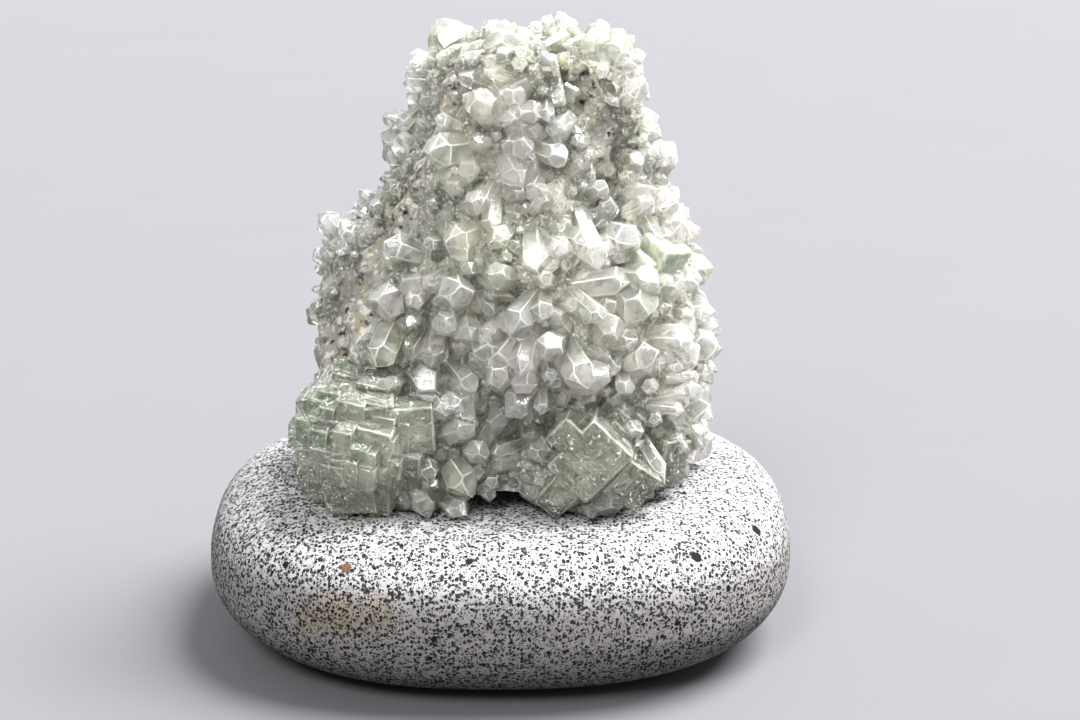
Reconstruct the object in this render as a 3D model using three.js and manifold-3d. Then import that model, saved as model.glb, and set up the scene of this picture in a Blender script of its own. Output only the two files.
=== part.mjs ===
// A fluorite and quartz cluster standing on a speckled granite pebble, in millimetres, +Z up.
// The origin is on the ground under the middle of the pebble. The best face of the cluster looks along -Y.
import * as THREE from "three";
import { mergeVertices } from "three/addons/utils/BufferGeometryUtils.js";
import Module from "manifold-3d";

const wasm = await Module();
wasm.setup();

// Driving dimensions
const PEBBLE = {
  halfWidth: 38,
  halfDepth: 30.6,
  height: 21,
  squareness: 2.45,
  flatShare: 0.6,
  upperSquareness: 2.8,
  lowerSquareness: 2,
  sides: 36,
  bandRings: 8,
};
const SEAT = PEBBLE.height + 0.05; // the cluster stands on the flat top of the pebble
const GAP = 0.3; // clearance between two minerals of the cluster
const CRUST_THICKNESS = 2.4;
const ROOT_RISE = 0.6; // quartz points start this far up inside the crust
// How far the crust's fine facets stand in and out between its points, and how fast they change.
const CRUST_RELIEF = { depth: 0.7, around: 1.9, up: 2.3, skew: 0.05 };
const BARE_SINK = 0.8; // where the rock is bare the crust's skin runs this deep inside it
const TIP_STEEPNESS = 0.55; // height of a quartz point's pyramid as a share of its width
const TIP_SHIFT = 0.3; // a tip may stand off its axis by half this share of the width
const ROOT_TAPER = 0.9; // width of a point's root as a share of its shoulder's
const SHOULDER_ZIGZAG = 0.06; // rise and fall of the prism edges at the shoulder, as a share of the width
const ROCK_SQUARENESS = 2.3;
const ROCK_SIDES = 30;
const ROCK_SIDE_RINGS = 10;
const ROCK_CAP_RINGS = 3;
const SHOULDER = 53.5; // height over the seat at which the rock's sides turn into its top
const CAP_HEIGHT = 1.6;
const CAP_SPAN = 0.3; // share added to the climb for the top
const CAP_FULLNESS = 0.6; // the smaller, the fuller the shoulder of the top
const CAP_RISE = 0.9;
const UNDERCUT_FADE = 10; // an arch fades out over this height

// Outline of the rock over the seat: height, then its left, right, front and back reach from the upright axis.
const STATIONS = [
  [0, -20.8, 20.2, -13.0, 13.0],
  [6, -22.2, 22.6, -13.8, 14.0],
  [16, -21.8, 23.2, -13.2, 14.0],
  [23, -20.6, 23.6, -11.8, 13.4],
  [29, -18.6, 22.4, -10.2, 12.4],
  [37, -13.2, 17.6, -8.0, 11.0],
  [46, -8.8, 16.4, -5.4, 9.6],
  [53.5, -5.6, 14.4, -3.6, 8.4],
];

// Waves of the rock's skin: how far out, waves around, turn with height, phase.
const WAVES = [
  [0.7, 3, 0.21, 0],
  [0.5, 5, -0.33, 1.7],
  [0.35, 9, 0.52, 0.4],
];

// Broad swellings and hollows: bearing in degrees, height, spread in degrees, spread in height, how far out.
const SWELLINGS = [
  [232, 7, 16, 8, 2.2],
  [300, 7, 13, 7, 3.0],
  [270, 8, 13, 8, -2.6],
  [262, 24, 12, 7, -1.2],
  [284, 30, 10, 8, 1.0],
];

// Arches between the feet of the cluster: bearing, spread in degrees, height of the arch.
const ARCHES = [
  [273, 15, 3.4],
  [345, 22, 1.8],
  [30, 20, 1.5],
  [150, 26, 2.0],
  [196, 10, 1.2],
];
const FOOT_SINK = 0.35;
const UNDERSIDE_RISE = 2.5; // the underside climbs to this height at the middle

// The bare band of rock up the left flank: height, bearing of its middle, half its spread in degrees.
const LEFT_BAND = [
  [4, 186, 3],
  [10, 193, 8],
  [23, 205, 13],
  [32, 211, 10],
  [42, 211, 9],
  [50, 208, 7],
  [54, 206, 0],
];
// The bare seam down from the top on the right.
const RIGHT_BAND = [
  [35, 312, 0],
  [38, 312, 5],
  [42, 316, 8],
  [47, 311, 9],
  [53, 298, 9],
  [58, 291, 12],
];
// The broken back, where the rock shows: middle bearing and height, reach in degrees and in height.
// Its edge wanders with the bearing and with the height.
const BACK_BREAK = {
  bearing: 106,
  height: 25,
  halfSpread: 40,
  halfHeight: 20,
  wander: (bearing, height) => 0.22 * Math.sin(0.16 * bearing + 0.9) + 0.16 * Math.sin(0.37 * height),
};
// No point stands in the hollow under the front.
const HOLLOW = { bearing: 271, halfSpread: 14, height: 6 };

// Quartz points that can be told apart: across, height over the seat, width, length, lean from the face and
// heading. The heading is the way the tip leans as seen from the front: 0 is right, 90 up, -90 down.
const MARKED_POINTS = [
  [-1.6, 48.6, 5.0, 5.6, 20, 140],
  [-5.2, 44.6, 5.6, 6.6, 40, 205],
  [0.4, 44.4, 4.6, 6.0, 50, -80],
  [-0.8, 41.0, 3.8, 7.4, 66, -88],
  [3.0, 49.0, 4.2, 5.4, 30, 40],
  [4.9, 44.6, 4.4, 5.6, 35, -20],
  [10.6, 37.0, 5.2, 9.0, 62, -112],
  [15.0, 34.4, 5.4, 6.6, 30, -70],
  [16.2, 28.0, 6.6, 7.0, 34, -60],
  [5.0, 27.6, 5.6, 7.2, 40, -120],
  [9.8, 28.4, 5.2, 7.6, 55, -10],
  [-7.0, 26.8, 5.4, 6.2, 25, 80],
  [-8.4, 23.6, 4.4, 6.0, 48, -100],
  [-4.2, 24.8, 4.6, 7.0, 50, -70],
  [-5.0, 19.8, 4.2, 9.6, 70, -90],
  [-1.4, 25.0, 4.6, 7.4, 58, -10],
  [-1.2, 22.6, 4.0, 7.4, 60, -32],
  [3.4, 22.8, 5.2, 7.2, 48, -120],
  [8.2, 21.6, 5.6, 7.6, 48, -40],
  [5.2, 17.6, 4.6, 6.8, 55, -135],
  [13.2, 17.8, 4.8, 6.4, 34, 120],
  [16.4, 18.4, 5.0, 6.4, 34, 60],
  [0.8, 16.4, 4.4, 6.4, 40, 95],
  [-0.6, 11.8, 4.4, 7.0, 60, -135],
  [3.4, 12.0, 4.4, 7.0, 60, -55],
  [19.4, 13.0, 4.0, 7.4, 75, 8],
  [17.6, 9.2, 4.2, 7.2, 60, -90],
  [19.6, 21.6, 4.8, 6.2, 35, 10],
  [-13.2, 26.0, 6.0, 5.4, 18, 30],
  [-14.6, 22.4, 5.0, 5.8, 40, -90],
  [-11.0, 31.6, 4.6, 5.6, 40, 170],
  [-3.2, 35.2, 4.6, 5.6, 40, -150],
  [4.6, 34.2, 4.8, 5.8, 38, -70],
];

// Quartz points strewn over the rest of the crust, wider apart and broader at the back.
const STREWN = {
  seed: 4127,
  tries: 2600,
  most: 104,
  spacing: 5.7,
  width: 4.6,
  backSpacing: 9.6,
  backWidth: 5.8,
  backFrom: 40,
  backTo: 185,
  widthSpread: 1.9,
  length: 2.7,
  lengthPerWidth: 0.25,
  lengthSpread: 1.4,
  leastLean: 6,
  leanSpread: 44,
  lowest: 0.02,
  capShare: 0.8,
};

// Blocks of green fluorite: across, depth, height over the seat, three edges, then roll, pitch and yaw in
// degrees.
const LEFT_BLOCKS = [
  [-16.9, -11.4, 8.2, 11.0, 11.0, 13.0, 8, 14, -18],
  [-10.9, -13.6, 12.4, 5.6, 8.0, 6.2, -3, 4, 4],
  [-18.2, -14.4, 4.6, 6.4, 7.0, 6.0, -4, 12, -6],
  [-14.6, -14.6, 9.2, 5.0, 6.6, 3.6, 2, 2, 6],
  [-13.2, -13.2, 4.6, 4.0, 5.6, 4.2, 16, 8, 20],
  [-22.4, -10.2, 4.2, 5.0, 5.0, 5.4, -14, 10, -28],
  [-19.6, -12.2, 13.6, 7.0, 6.0, 5.4, 20, 24, -24],
  [-15.2, -14.4, 14.2, 5.4, 5.4, 5.0, -10, 26, 4],
  [-10.4, -13.2, 7.0, 4.0, 5.0, 3.8, 4, 6, 12],
];
const RIGHT_BLOCKS = [
  [11.7, -14.4, 8.2, 6.8, 8.6, 8.6, 43, -4, -6],
  [9.7, -14.2, 10.4, 6.0, 8.2, 3.8, 43, -4, -6],
  [9.2, -14.2, 7.8, 3.6, 7.6, 4.4, 43, -4, -6],
  [16.0, -15.0, 5.2, 5.4, 5.6, 5.4, 38, 8, 14],
  [7.4, -14.0, 3.0, 4.0, 6.0, 4.4, 40, 4, -6],
];
const LONE_BLOCKS = [
  ["fluorite_side", [[20.4, -9.0, 5.4, 4.6, 5.4, 6.2, 12, 6, 40]]],
  [
    "fluorite_upper",
    [
      [20.4, -6.8, 31.6, 5.2, 4.4, 3.6, 12, 24, 44],
      [18.2, -8.2, 30.6, 3.4, 3.6, 2.8, 12, 24, 44],
    ],
  ],
];
const CUTTER = 200; // side of the box that cuts everything off level with the seat
const ROOM_DEPTH = 6; // the room kept for the rock runs this far under the seat
const FLUORITE_REACH = 1.2; // quartz keeps this far from the middle of a block, as a share of its half edge

const COLOURS = {
  pebble: 0xd9d8d6,
  rock: 0x8f8a7e,
  quartz: 0xe6e6e4,
  fluorite: 0x9db39a,
};

const radians = THREE.MathUtils.degToRad;

// Straight run between the rows of a table whose first column rises.
function along(table, height) {
  const last = table.length - 1;
  if (height <= table[0][0]) return table[0].slice(1);
  if (height >= table[last][0]) return table[last].slice(1);
  const after = table.findIndex((row) => row[0] > height);
  const [low, high] = [table[after - 1], table[after]];
  const share = (height - low[0]) / (high[0] - low[0]);
  return low.slice(1).map((value, i) => value + (high[i + 1] - value) * share);
}

function angleBetween(a, b) {
  return ((((a - b) % 360) + 540) % 360) - 180;
}

function bump(distance, spread) {
  return Math.exp(-((distance / spread) ** 2));
}

// Bearings are in degrees: 0 is +X, 90 the back, 180 the left, 270 the front.
function swelling(bearing, height) {
  const a = radians(bearing);
  const lumps = WAVES.reduce(
    (sum, [out, around, turn, phase]) => sum + out * Math.sin(around * a + turn * height + phase),
    0,
  );
  return SWELLINGS.reduce(
    (sum, [at, up, spread, rise, out]) =>
      sum + out * bump(angleBetween(bearing, at), spread) * bump(height - up, rise),
    lumps,
  );
}

function archHeight(bearing) {
  return ARCHES.reduce(
    (sum, [at, spread, rise]) => sum + rise * bump(angleBetween(bearing, at), spread),
    -FOOT_SINK,
  );
}

// 1 where the crust of crystals covers the rock, 0 where the rock is bare.
function covered(bearing, height) {
  const inBand = (table) => {
    const [middle, spread] = along(table, height);
    return Math.abs(angleBetween(bearing, middle)) < spread;
  };
  const turned = angleBetween(bearing, BACK_BREAK.bearing) / BACK_BREAK.halfSpread;
  const raised = (height - BACK_BREAK.height) / BACK_BREAK.halfHeight;
  const inBack = turned ** 2 + raised ** 2 < 1 + BACK_BREAK.wander(bearing, height);
  const leftBare = height > LEFT_BAND[0][0] && inBand(LEFT_BAND);
  const rightBare = height > RIGHT_BAND[0][0] && inBand(RIGHT_BAND);
  return leftBare || rightBare || inBack ? 0 : 1;
}

// How far the crust's skin stands over the rock, with a facet-like relief; negative where the rock is bare.
function crustRise(bearing, height) {
  if (!covered(bearing, height)) return -BARE_SINK;
  const { depth, around, up, skew } = CRUST_RELIEF;
  return CRUST_THICKNESS + depth * Math.sin(around * bearing) * Math.sin(up * height + skew * bearing);
}

// A place on the rock: climb runs from 0 at the seat to 1 at the shoulder and on over the top.
function place(bearing, climb, rise) {
  const a = radians(bearing);
  const over = Math.max(0, climb - 1) / CAP_SPAN;
  const tilt = (Math.min(1, over) * Math.PI) / 2;
  const height = Math.min(1, climb) * SHOULDER;
  const [left, right, front, back] = along(STATIONS, height);
  const [c, s] = [Math.cos(a), Math.sin(a)];
  const shrink = Math.max(0, Math.cos(tilt)) ** CAP_FULLNESS;
  const power = 2 / ROCK_SQUARENESS;
  const out = (rise + swelling(bearing, height)) * shrink;
  const x = (left + right) / 2 + (shrink * Math.sign(c) * Math.abs(c) ** power * (right - left)) / 2;
  const y = (front + back) / 2 + (shrink * Math.sign(s) * Math.abs(s) ** power * (back - front)) / 2;
  const arch = archHeight(bearing) * Math.max(0, 1 - height / UNDERCUT_FADE) ** 2;
  const cap = (CAP_HEIGHT + rise) * Math.sin(tilt) ** CAP_RISE;
  return new THREE.Vector3(x + out * c, y + out * s, SEAT + height + arch + cap);
}

// The way out of the rock at a place, from one degree and one hundredth of the climb to each side.
function outward(bearing, climb) {
  const across = place(bearing + 1, climb, 0).sub(place(bearing - 1, climb, 0));
  const up = place(bearing, climb + 0.01, 0).sub(place(bearing, Math.max(0, climb - 0.01), 0));
  return across.cross(up).normalize();
}

// The bearing of a point of the front that lies so far across.
function frontBearing(across, height) {
  const [left, right] = along(STATIONS, height);
  const share = (across - (left + right) / 2) / ((right - left) / 2 + CRUST_THICKNESS);
  const cosine = Math.sign(share) * Math.min(1, Math.abs(share)) ** (ROCK_SQUARENESS / 2);
  return 360 - THREE.MathUtils.radToDeg(Math.acos(cosine));
}

function solidFrom(geometry) {
  const bare = geometry.clone();
  bare.deleteAttribute("normal");
  bare.deleteAttribute("uv");
  const merged = mergeVertices(bare, 1e-4);
  return new wasm.Manifold(
    new wasm.Mesh({
      numProp: 3,
      vertProperties: new Float32Array(merged.attributes.position.array),
      triVerts: new Uint32Array(merged.index.array),
    }),
  );
}

function geometryFrom(solid) {
  const mesh = solid.getMesh();
  const positions = new Float32Array(mesh.numVert * 3);
  for (let i = 0; i < mesh.numVert; i += 1) {
    positions.set(mesh.vertProperties.subarray(i * mesh.numProp, i * mesh.numProp + 3), i * 3);
  }
  const geometry = new THREE.BufferGeometry();
  geometry.setAttribute("position", new THREE.BufferAttribute(positions, 3));
  geometry.setIndex(new THREE.BufferAttribute(new Uint32Array(mesh.triVerts), 1));
  geometry.computeVertexNormals();
  return geometry;
}

// A closed body from rings of equally many points, ordered from the bottom up, with a point to close each end.
function ringedBody(rings, bottom, top) {
  const sides = rings[0].length;
  const points = [...rings.flat(), bottom, top];
  const [bottomAt, topAt] = [points.length - 2, points.length - 1];
  const faces = [];
  for (let side = 0; side < sides; side += 1) {
    const next = (side + 1) % sides;
    faces.push(bottomAt, next, side);
    for (let ring = 0; ring + 1 < rings.length; ring += 1) {
      const [low, high] = [ring * sides, (ring + 1) * sides];
      faces.push(low + side, low + next, high + next);
      faces.push(low + side, high + next, high + side);
    }
    const last = (rings.length - 1) * sides;
    faces.push(last + side, last + next, topAt);
  }
  const geometry = new THREE.BufferGeometry();
  geometry.setAttribute("position", new THREE.Float32BufferAttribute(points.flatMap((p) => p.toArray()), 3));
  geometry.setIndex(faces);
  return geometry;
}

// The pebble: a rounded plan, flat above and below, with an edge that is tighter above than below.
function pebbleGeometry() {
  const { halfWidth, halfDepth, height, squareness, flatShare, sides, bandRings } = PEBBLE;
  const rings = [];
  for (let ring = 0; ring <= bandRings; ring += 1) {
    const turn = Math.PI * (ring / bandRings - 0.5);
    const power = 2 / (turn > 0 ? PEBBLE.upperSquareness : PEBBLE.lowerSquareness);
    const reach = flatShare + (1 - flatShare) * Math.cos(turn) ** power;
    const rise = Math.sign(turn) * Math.abs(Math.sin(turn)) ** power;
    const level = (height / 2) * (1 + rise);
    rings.push(
      Array.from({ length: sides }, (_, side) => {
        const a = (2 * Math.PI * side) / sides;
        const round = (value) => Math.sign(value) * Math.abs(value) ** (2 / squareness);
        return new THREE.Vector3(
          halfWidth * reach * round(Math.cos(a)),
          halfDepth * reach * round(Math.sin(a)),
          level,
        );
      }),
    );
  }
  return ringedBody(rings, new THREE.Vector3(0, 0, 0), new THREE.Vector3(0, 0, height));
}

// The rock's skin pushed out by a rise that may change from place to place.
function skinBody(riseAt, floorDrop) {
  const climbs = [
    ...Array.from({ length: ROCK_SIDE_RINGS }, (_, i) => i / ROCK_SIDE_RINGS),
    ...Array.from({ length: ROCK_CAP_RINGS }, (_, i) => 1 + (CAP_SPAN * i) / ROCK_CAP_RINGS),
  ];
  const rings = climbs.map((climb) =>
    Array.from({ length: ROCK_SIDES }, (_, side) => {
      const bearing = (360 * side) / ROCK_SIDES;
      return place(bearing, climb, riseAt(bearing, Math.min(1, climb) * SHOULDER));
    }),
  );
  if (floorDrop > 0) rings.unshift(rings[0].map((p) => new THREE.Vector3(p.x, p.y, SEAT - floorDrop)));
  const floorLevel = floorDrop > 0 ? SEAT - floorDrop : SEAT + UNDERSIDE_RISE;
  const middle = place(0, 1 + CAP_SPAN, riseAt(0, SHOULDER));
  return solidFrom(ringedBody(rings, new THREE.Vector3(0, 0, floorLevel), middle));
}

function drawFrom(seed) {
  let state = seed;
  return () => {
    state = (Math.imul(1664525, state) + 1013904223) >>> 0;
    return state / 4294967296;
  };
}

// A six-sided quartz point: a slightly tapering prism with a pyramid whose tip stands a little off its axis.
function quartzPoint({ root, axis, width, length, spin, tipShift }) {
  const turn = new THREE.Quaternion().setFromUnitVectors(new THREE.Vector3(0, 0, 1), axis);
  const ring = (reach, level, zigzag) =>
    Array.from({ length: 6 }, (_, side) => {
      const a = spin + (Math.PI * side) / 3;
      const step = zigzag * (side % 2 ? 1 : -1);
      return new THREE.Vector3(reach * Math.cos(a), reach * Math.sin(a), level + step);
    });
  const root6 = ring((ROOT_TAPER * width) / 2, 0, 0);
  const shoulder6 = ring(width / 2, length - TIP_STEEPNESS * width, SHOULDER_ZIGZAG * width);
  const tip = new THREE.Vector3(tipShift[0] * width, tipShift[1] * width, length);
  const geometry = ringedBody([root6, shoulder6], new THREE.Vector3(0, 0, 0), tip);
  geometry.applyQuaternion(turn);
  geometry.translate(root.x, root.y, root.z);
  return solidFrom(geometry);
}

// The way out of the rock, leaned over by some degrees towards a heading on its surface.
function leaned(bearing, climb, lean, heading) {
  const normal = outward(bearing, climb);
  const right = new THREE.Vector3(-normal.y, normal.x, 0).normalize();
  const up = new THREE.Vector3().crossVectors(normal, right);
  const slant = right.multiplyScalar(Math.cos(heading)).addScaledVector(up, Math.sin(heading));
  return normal.multiplyScalar(Math.cos(lean)).addScaledVector(slant, Math.sin(lean)).normalize();
}

function markedPoints(draw) {
  return MARKED_POINTS.map(([across, height, width, length, lean, heading]) => {
    const bearing = frontBearing(across, height);
    const climb = height / SHOULDER;
    return {
      root: place(bearing, climb, ROOT_RISE),
      axis: leaned(bearing, climb, radians(lean), radians(heading)),
      width,
      length,
      spin: draw() * Math.PI,
      tipShift: [(draw() - 0.5) * TIP_SHIFT, (draw() - 0.5) * TIP_SHIFT],
    };
  });
}

function nearBlock(point, blocks) {
  return blocks.some(([x, y, height, ...edges]) => {
    const half = (Math.max(...edges.slice(0, 3)) / 2) * FLUORITE_REACH;
    return point.distanceTo(new THREE.Vector3(x, y, SEAT + height)) < half;
  });
}

function inHollow(bearing, height) {
  return height < HOLLOW.height && Math.abs(angleBetween(bearing, HOLLOW.bearing)) < HOLLOW.halfSpread;
}

// Points fill the crust where no earlier point or block is near.
function strewnPoints(taken, blocks, draw) {
  const points = [];
  for (let i = 0; i < STREWN.tries && points.length < STREWN.most; i += 1) {
    const bearing = draw() * 360;
    const climb = STREWN.lowest + draw() * (1 - STREWN.lowest + CAP_SPAN * STREWN.capShare);
    const [size, lean, heading, spin, shiftX, shiftY] = Array.from({ length: 6 }, draw);
    const height = Math.min(1, climb) * SHOULDER;
    const root = place(bearing, climb, ROOT_RISE);
    const atBack = bearing > STREWN.backFrom && bearing < STREWN.backTo;
    const spacing = (atBack ? STREWN.backSpacing : STREWN.spacing) * (0.75 + size / 2);
    const crowded = [...taken, ...points].some((other) => other.root.distanceTo(root) < spacing);
    const bare = inHollow(bearing, height) || !covered(bearing, height);
    if (crowded || bare || nearBlock(root, blocks)) continue;
    const width = (atBack ? STREWN.backWidth : STREWN.width) + STREWN.widthSpread * size;
    const leaning = radians(STREWN.leastLean + STREWN.leanSpread * lean);
    points.push({
      root,
      axis: leaned(bearing, climb, leaning, heading * 2 * Math.PI),
      width,
      length: STREWN.length + STREWN.lengthPerWidth * width + STREWN.lengthSpread * lean,
      spin: spin * Math.PI,
      tipShift: [(shiftX - 0.5) * TIP_SHIFT, (shiftY - 0.5) * TIP_SHIFT],
    });
  }
  return points;
}

// A cleaved block of fluorite, grown by a margin on every side where it is used to cut.
function block([x, y, height, width, depth, tall, roll, pitch, yaw], margin) {
  const geometry = new THREE.BoxGeometry(width + 2 * margin, depth + 2 * margin, tall + 2 * margin);
  const turn = new THREE.Euler(radians(pitch), radians(roll), radians(yaw), "ZXY");
  geometry.applyMatrix4(new THREE.Matrix4().makeRotationFromEuler(turn));
  geometry.translate(x, y, SEAT + height);
  return solidFrom(geometry);
}

function joined(solids) {
  return solids.reduce((sum, solid) => sum.add(solid));
}

function largestBody(solid) {
  return solid.decompose().reduce((best, body) => (body.volume() > best.volume() ? body : best));
}

function meshOf(name, solid, colour, roughness) {
  const material = new THREE.MeshStandardMaterial({ color: colour, roughness, flatShading: true });
  const mesh = new THREE.Mesh(geometryFrom(solid), material);
  mesh.name = name;
  return mesh;
}

function build() {
  const draw = drawFrom(STREWN.seed);
  const groups = [
    ["fluorite_left", LEFT_BLOCKS],
    ["fluorite_right", RIGHT_BLOCKS],
    ...LONE_BLOCKS,
  ];
  const allBlocks = groups.flatMap(([, blocks]) => blocks);
  const cut = new THREE.BoxGeometry(CUTTER, CUTTER, CUTTER);
  cut.translate(0, 0, SEAT - CUTTER / 2);
  const belowSeat = solidFrom(cut);

  const rock = skinBody(() => 0, 0).subtract(belowSeat);
  const rockRoom = skinBody(() => GAP, ROOM_DEPTH);
  const crustSkin = skinBody(crustRise, 0);
  const marked = markedPoints(draw);
  const points = [...marked, ...strewnPoints(marked, allBlocks, draw)];
  const crystals = joined([crustSkin, ...points.map(quartzPoint)]);

  const fluoriteRoom = joined(allBlocks.map((b) => block(b, GAP)));
  const quartz = largestBody(crystals.subtract(rockRoom).subtract(fluoriteRoom).subtract(belowSeat));

  const group = new THREE.Group();
  group.add(meshOf("pebble", solidFrom(pebbleGeometry()), COLOURS.pebble, 0.6));
  group.add(meshOf("host_rock", largestBody(rock), COLOURS.rock, 0.95));
  group.add(meshOf("quartz_crust", quartz, COLOURS.quartz, 0.2));
  for (const [name, blocks] of groups) {
    const solid = joined(blocks.map((b) => block(b, 0))).subtract(rockRoom).subtract(belowSeat);
    group.add(meshOf(name, largestBody(solid), COLOURS.fluorite, 0.25));
  }
  return group;
}

export default build();
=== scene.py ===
"""A fluorite and quartz cluster standing on a speckled granite pebble.

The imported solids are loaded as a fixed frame, in metres, +Z up. Each piece is a finer surface of the same
form as the solid that it replaces. Tables and formulas are in millimetres and become metres in make_mesh.
"""

import bpy
import numpy as np
from bpy.props import FloatProperty, FloatVectorProperty, IntProperty, PointerProperty
from bpy.types import Operator, Panel, PropertyGroup
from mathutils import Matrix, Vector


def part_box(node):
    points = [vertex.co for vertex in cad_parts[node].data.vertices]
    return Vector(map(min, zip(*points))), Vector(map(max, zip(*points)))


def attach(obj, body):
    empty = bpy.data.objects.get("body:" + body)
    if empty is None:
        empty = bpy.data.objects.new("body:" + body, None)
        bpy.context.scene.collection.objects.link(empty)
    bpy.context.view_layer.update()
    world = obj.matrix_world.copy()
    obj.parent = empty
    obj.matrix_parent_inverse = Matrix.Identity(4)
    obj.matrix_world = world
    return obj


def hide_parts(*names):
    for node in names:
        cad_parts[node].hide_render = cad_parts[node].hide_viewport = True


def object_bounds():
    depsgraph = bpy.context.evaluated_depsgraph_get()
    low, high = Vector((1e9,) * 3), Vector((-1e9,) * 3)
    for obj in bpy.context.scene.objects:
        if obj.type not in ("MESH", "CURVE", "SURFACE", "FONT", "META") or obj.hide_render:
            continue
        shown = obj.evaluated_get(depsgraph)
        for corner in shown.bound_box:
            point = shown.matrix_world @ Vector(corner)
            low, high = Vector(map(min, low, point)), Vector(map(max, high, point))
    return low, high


bl_info = {
    "name": "Fluorite cluster",
    "version": (1, 0, 0),
    "blender": (4, 5, 0),
    "location": "3D View > Sidebar > Cluster",
    "description": "Builds a fluorite and quartz cluster on a granite pebble, with its stage",
    "category": "Add Mesh",
}

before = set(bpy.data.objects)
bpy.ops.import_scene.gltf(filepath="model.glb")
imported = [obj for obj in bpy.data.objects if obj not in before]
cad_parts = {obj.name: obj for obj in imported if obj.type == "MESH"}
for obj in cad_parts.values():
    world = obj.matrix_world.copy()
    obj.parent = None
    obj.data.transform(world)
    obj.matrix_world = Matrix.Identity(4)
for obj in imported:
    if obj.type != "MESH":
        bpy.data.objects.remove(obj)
CAD_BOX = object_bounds()
MM = 0.001
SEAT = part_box("host_rock")[0].z / MM
TOP = CAD_BOX[1].z / MM
PEBBLE_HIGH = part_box("pebble")[1]

# The pebble's form, as in the solids
PEBBLE_SQUARENESS = 2.45
PEBBLE_UPPER = 2.8
PEBBLE_LOWER = 2.0
PEBBLE_FLAT = 0.6

# The rock's form, as in the solids
CRUST_THICKNESS = 2.4
BARE_SINK = 0.8
ROOT_RISE = 0.6
TIP_STEEPNESS = 0.55
TIP_SHIFT = 0.3
ROCK_SQUARENESS = 2.3
SHOULDER = 53.5
CAP_HEIGHT = 1.6
CAP_SPAN = 0.3
CAP_FULLNESS = 0.6
CAP_RISE = 0.9
UNDERCUT_FADE = 10
FOOT_SINK = 0.35
UNDERSIDE_RISE = 2.5

# Height over the seat, then left, right, front and back reach from the upright axis
STATIONS = [
    [0, -20.8, 20.2, -13.0, 13.0],
    [6, -22.2, 22.6, -13.8, 14.0],
    [16, -21.8, 23.2, -13.2, 14.0],
    [23, -20.6, 23.6, -11.8, 13.4],
    [29, -18.6, 22.4, -10.2, 12.4],
    [37, -13.2, 17.6, -8.0, 11.0],
    [46, -8.8, 16.4, -5.4, 9.6],
    [53.5, -5.6, 14.4, -3.6, 8.4],
]
# How far out, waves around, turn with height, phase
WAVES = [[0.7, 3, 0.21, 0], [0.5, 5, -0.33, 1.7], [0.35, 9, 0.52, 0.4]]
# Bearing in degrees, height, spread in degrees, spread in height, how far out
SWELLINGS = [
    [232, 7, 16, 8, 2.2],
    [300, 7, 13, 7, 3.0],
    [270, 8, 13, 8, -2.6],
    [262, 24, 12, 7, -1.2],
    [284, 30, 10, 8, 1.0],
]
# Bearing, spread in degrees, height of the arch
ARCHES = [[273, 15, 3.4], [345, 22, 1.8], [30, 20, 1.5], [150, 26, 2.0], [196, 10, 1.2]]
# Height, bearing of the bare band's middle, half its spread in degrees
LEFT_BAND = [
    [4, 186, 3],
    [10, 193, 8],
    [23, 205, 13],
    [32, 211, 10],
    [42, 211, 9],
    [50, 208, 7],
    [54, 206, 0],
]
RIGHT_BAND = [[35, 312, 0], [38, 312, 5], [42, 316, 8], [47, 311, 9], [53, 298, 9], [58, 291, 12]]
# How wide a degree of bearing and a whole back break are, in millimetres
DEGREE_WIDTH = 0.34
BREAK_WIDTH = 13
BACK_BREAK = {"bearing": 106, "height": 25, "half_spread": 40, "half_height": 20}
HOLLOW = {"bearing": 271, "half_spread": 14, "height": 6}

# Across, height over the seat, width, length, lean from the face, heading of the tip (0 right, 90 up)
MARKED_POINTS = [
    [-1.6, 48.6, 5.0, 5.6, 20, 140],
    [-5.2, 44.6, 5.6, 6.6, 40, 205],
    [0.4, 44.4, 4.6, 6.0, 50, -80],
    [-0.8, 41.0, 3.8, 7.4, 66, -88],
    [3.0, 49.0, 4.2, 5.4, 30, 40],
    [4.9, 44.6, 4.4, 5.6, 35, -20],
    [10.6, 37.0, 5.2, 9.0, 62, -112],
    [15.0, 34.4, 5.4, 6.6, 30, -70],
    [16.2, 28.0, 6.6, 7.0, 34, -60],
    [5.0, 27.6, 5.6, 7.2, 40, -120],
    [9.8, 28.4, 5.2, 7.6, 55, -10],
    [-7.0, 26.8, 5.4, 6.2, 25, 80],
    [-8.4, 23.6, 4.4, 6.0, 48, -100],
    [-4.2, 24.8, 4.6, 7.0, 50, -70],
    [-5.0, 19.8, 4.2, 9.6, 70, -90],
    [-1.4, 25.0, 4.6, 7.4, 58, -10],
    [-1.2, 22.6, 4.0, 7.4, 60, -32],
    [3.4, 22.8, 5.2, 7.2, 48, -120],
    [8.2, 21.6, 5.6, 7.6, 48, -40],
    [5.2, 17.6, 4.6, 6.8, 55, -135],
    [13.2, 17.8, 4.8, 6.4, 34, 120],
    [16.4, 18.4, 5.0, 6.4, 34, 60],
    [0.8, 16.4, 4.4, 6.4, 40, 95],
    [-0.6, 11.8, 4.4, 7.0, 60, -135],
    [3.4, 12.0, 4.4, 7.0, 60, -55],
    [19.4, 13.0, 4.0, 7.4, 75, 8],
    [17.6, 9.2, 4.2, 7.2, 60, -90],
    [19.6, 21.6, 4.8, 6.2, 35, 10],
    [-13.2, 26.0, 6.0, 5.4, 18, 30],
    [-14.6, 22.4, 5.0, 5.8, 40, -90],
    [-11.0, 31.6, 4.6, 5.6, 40, 170],
    [-3.2, 35.2, 4.6, 5.6, 40, -150],
    [4.6, 34.2, 4.8, 5.8, 38, -70],
]
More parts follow.
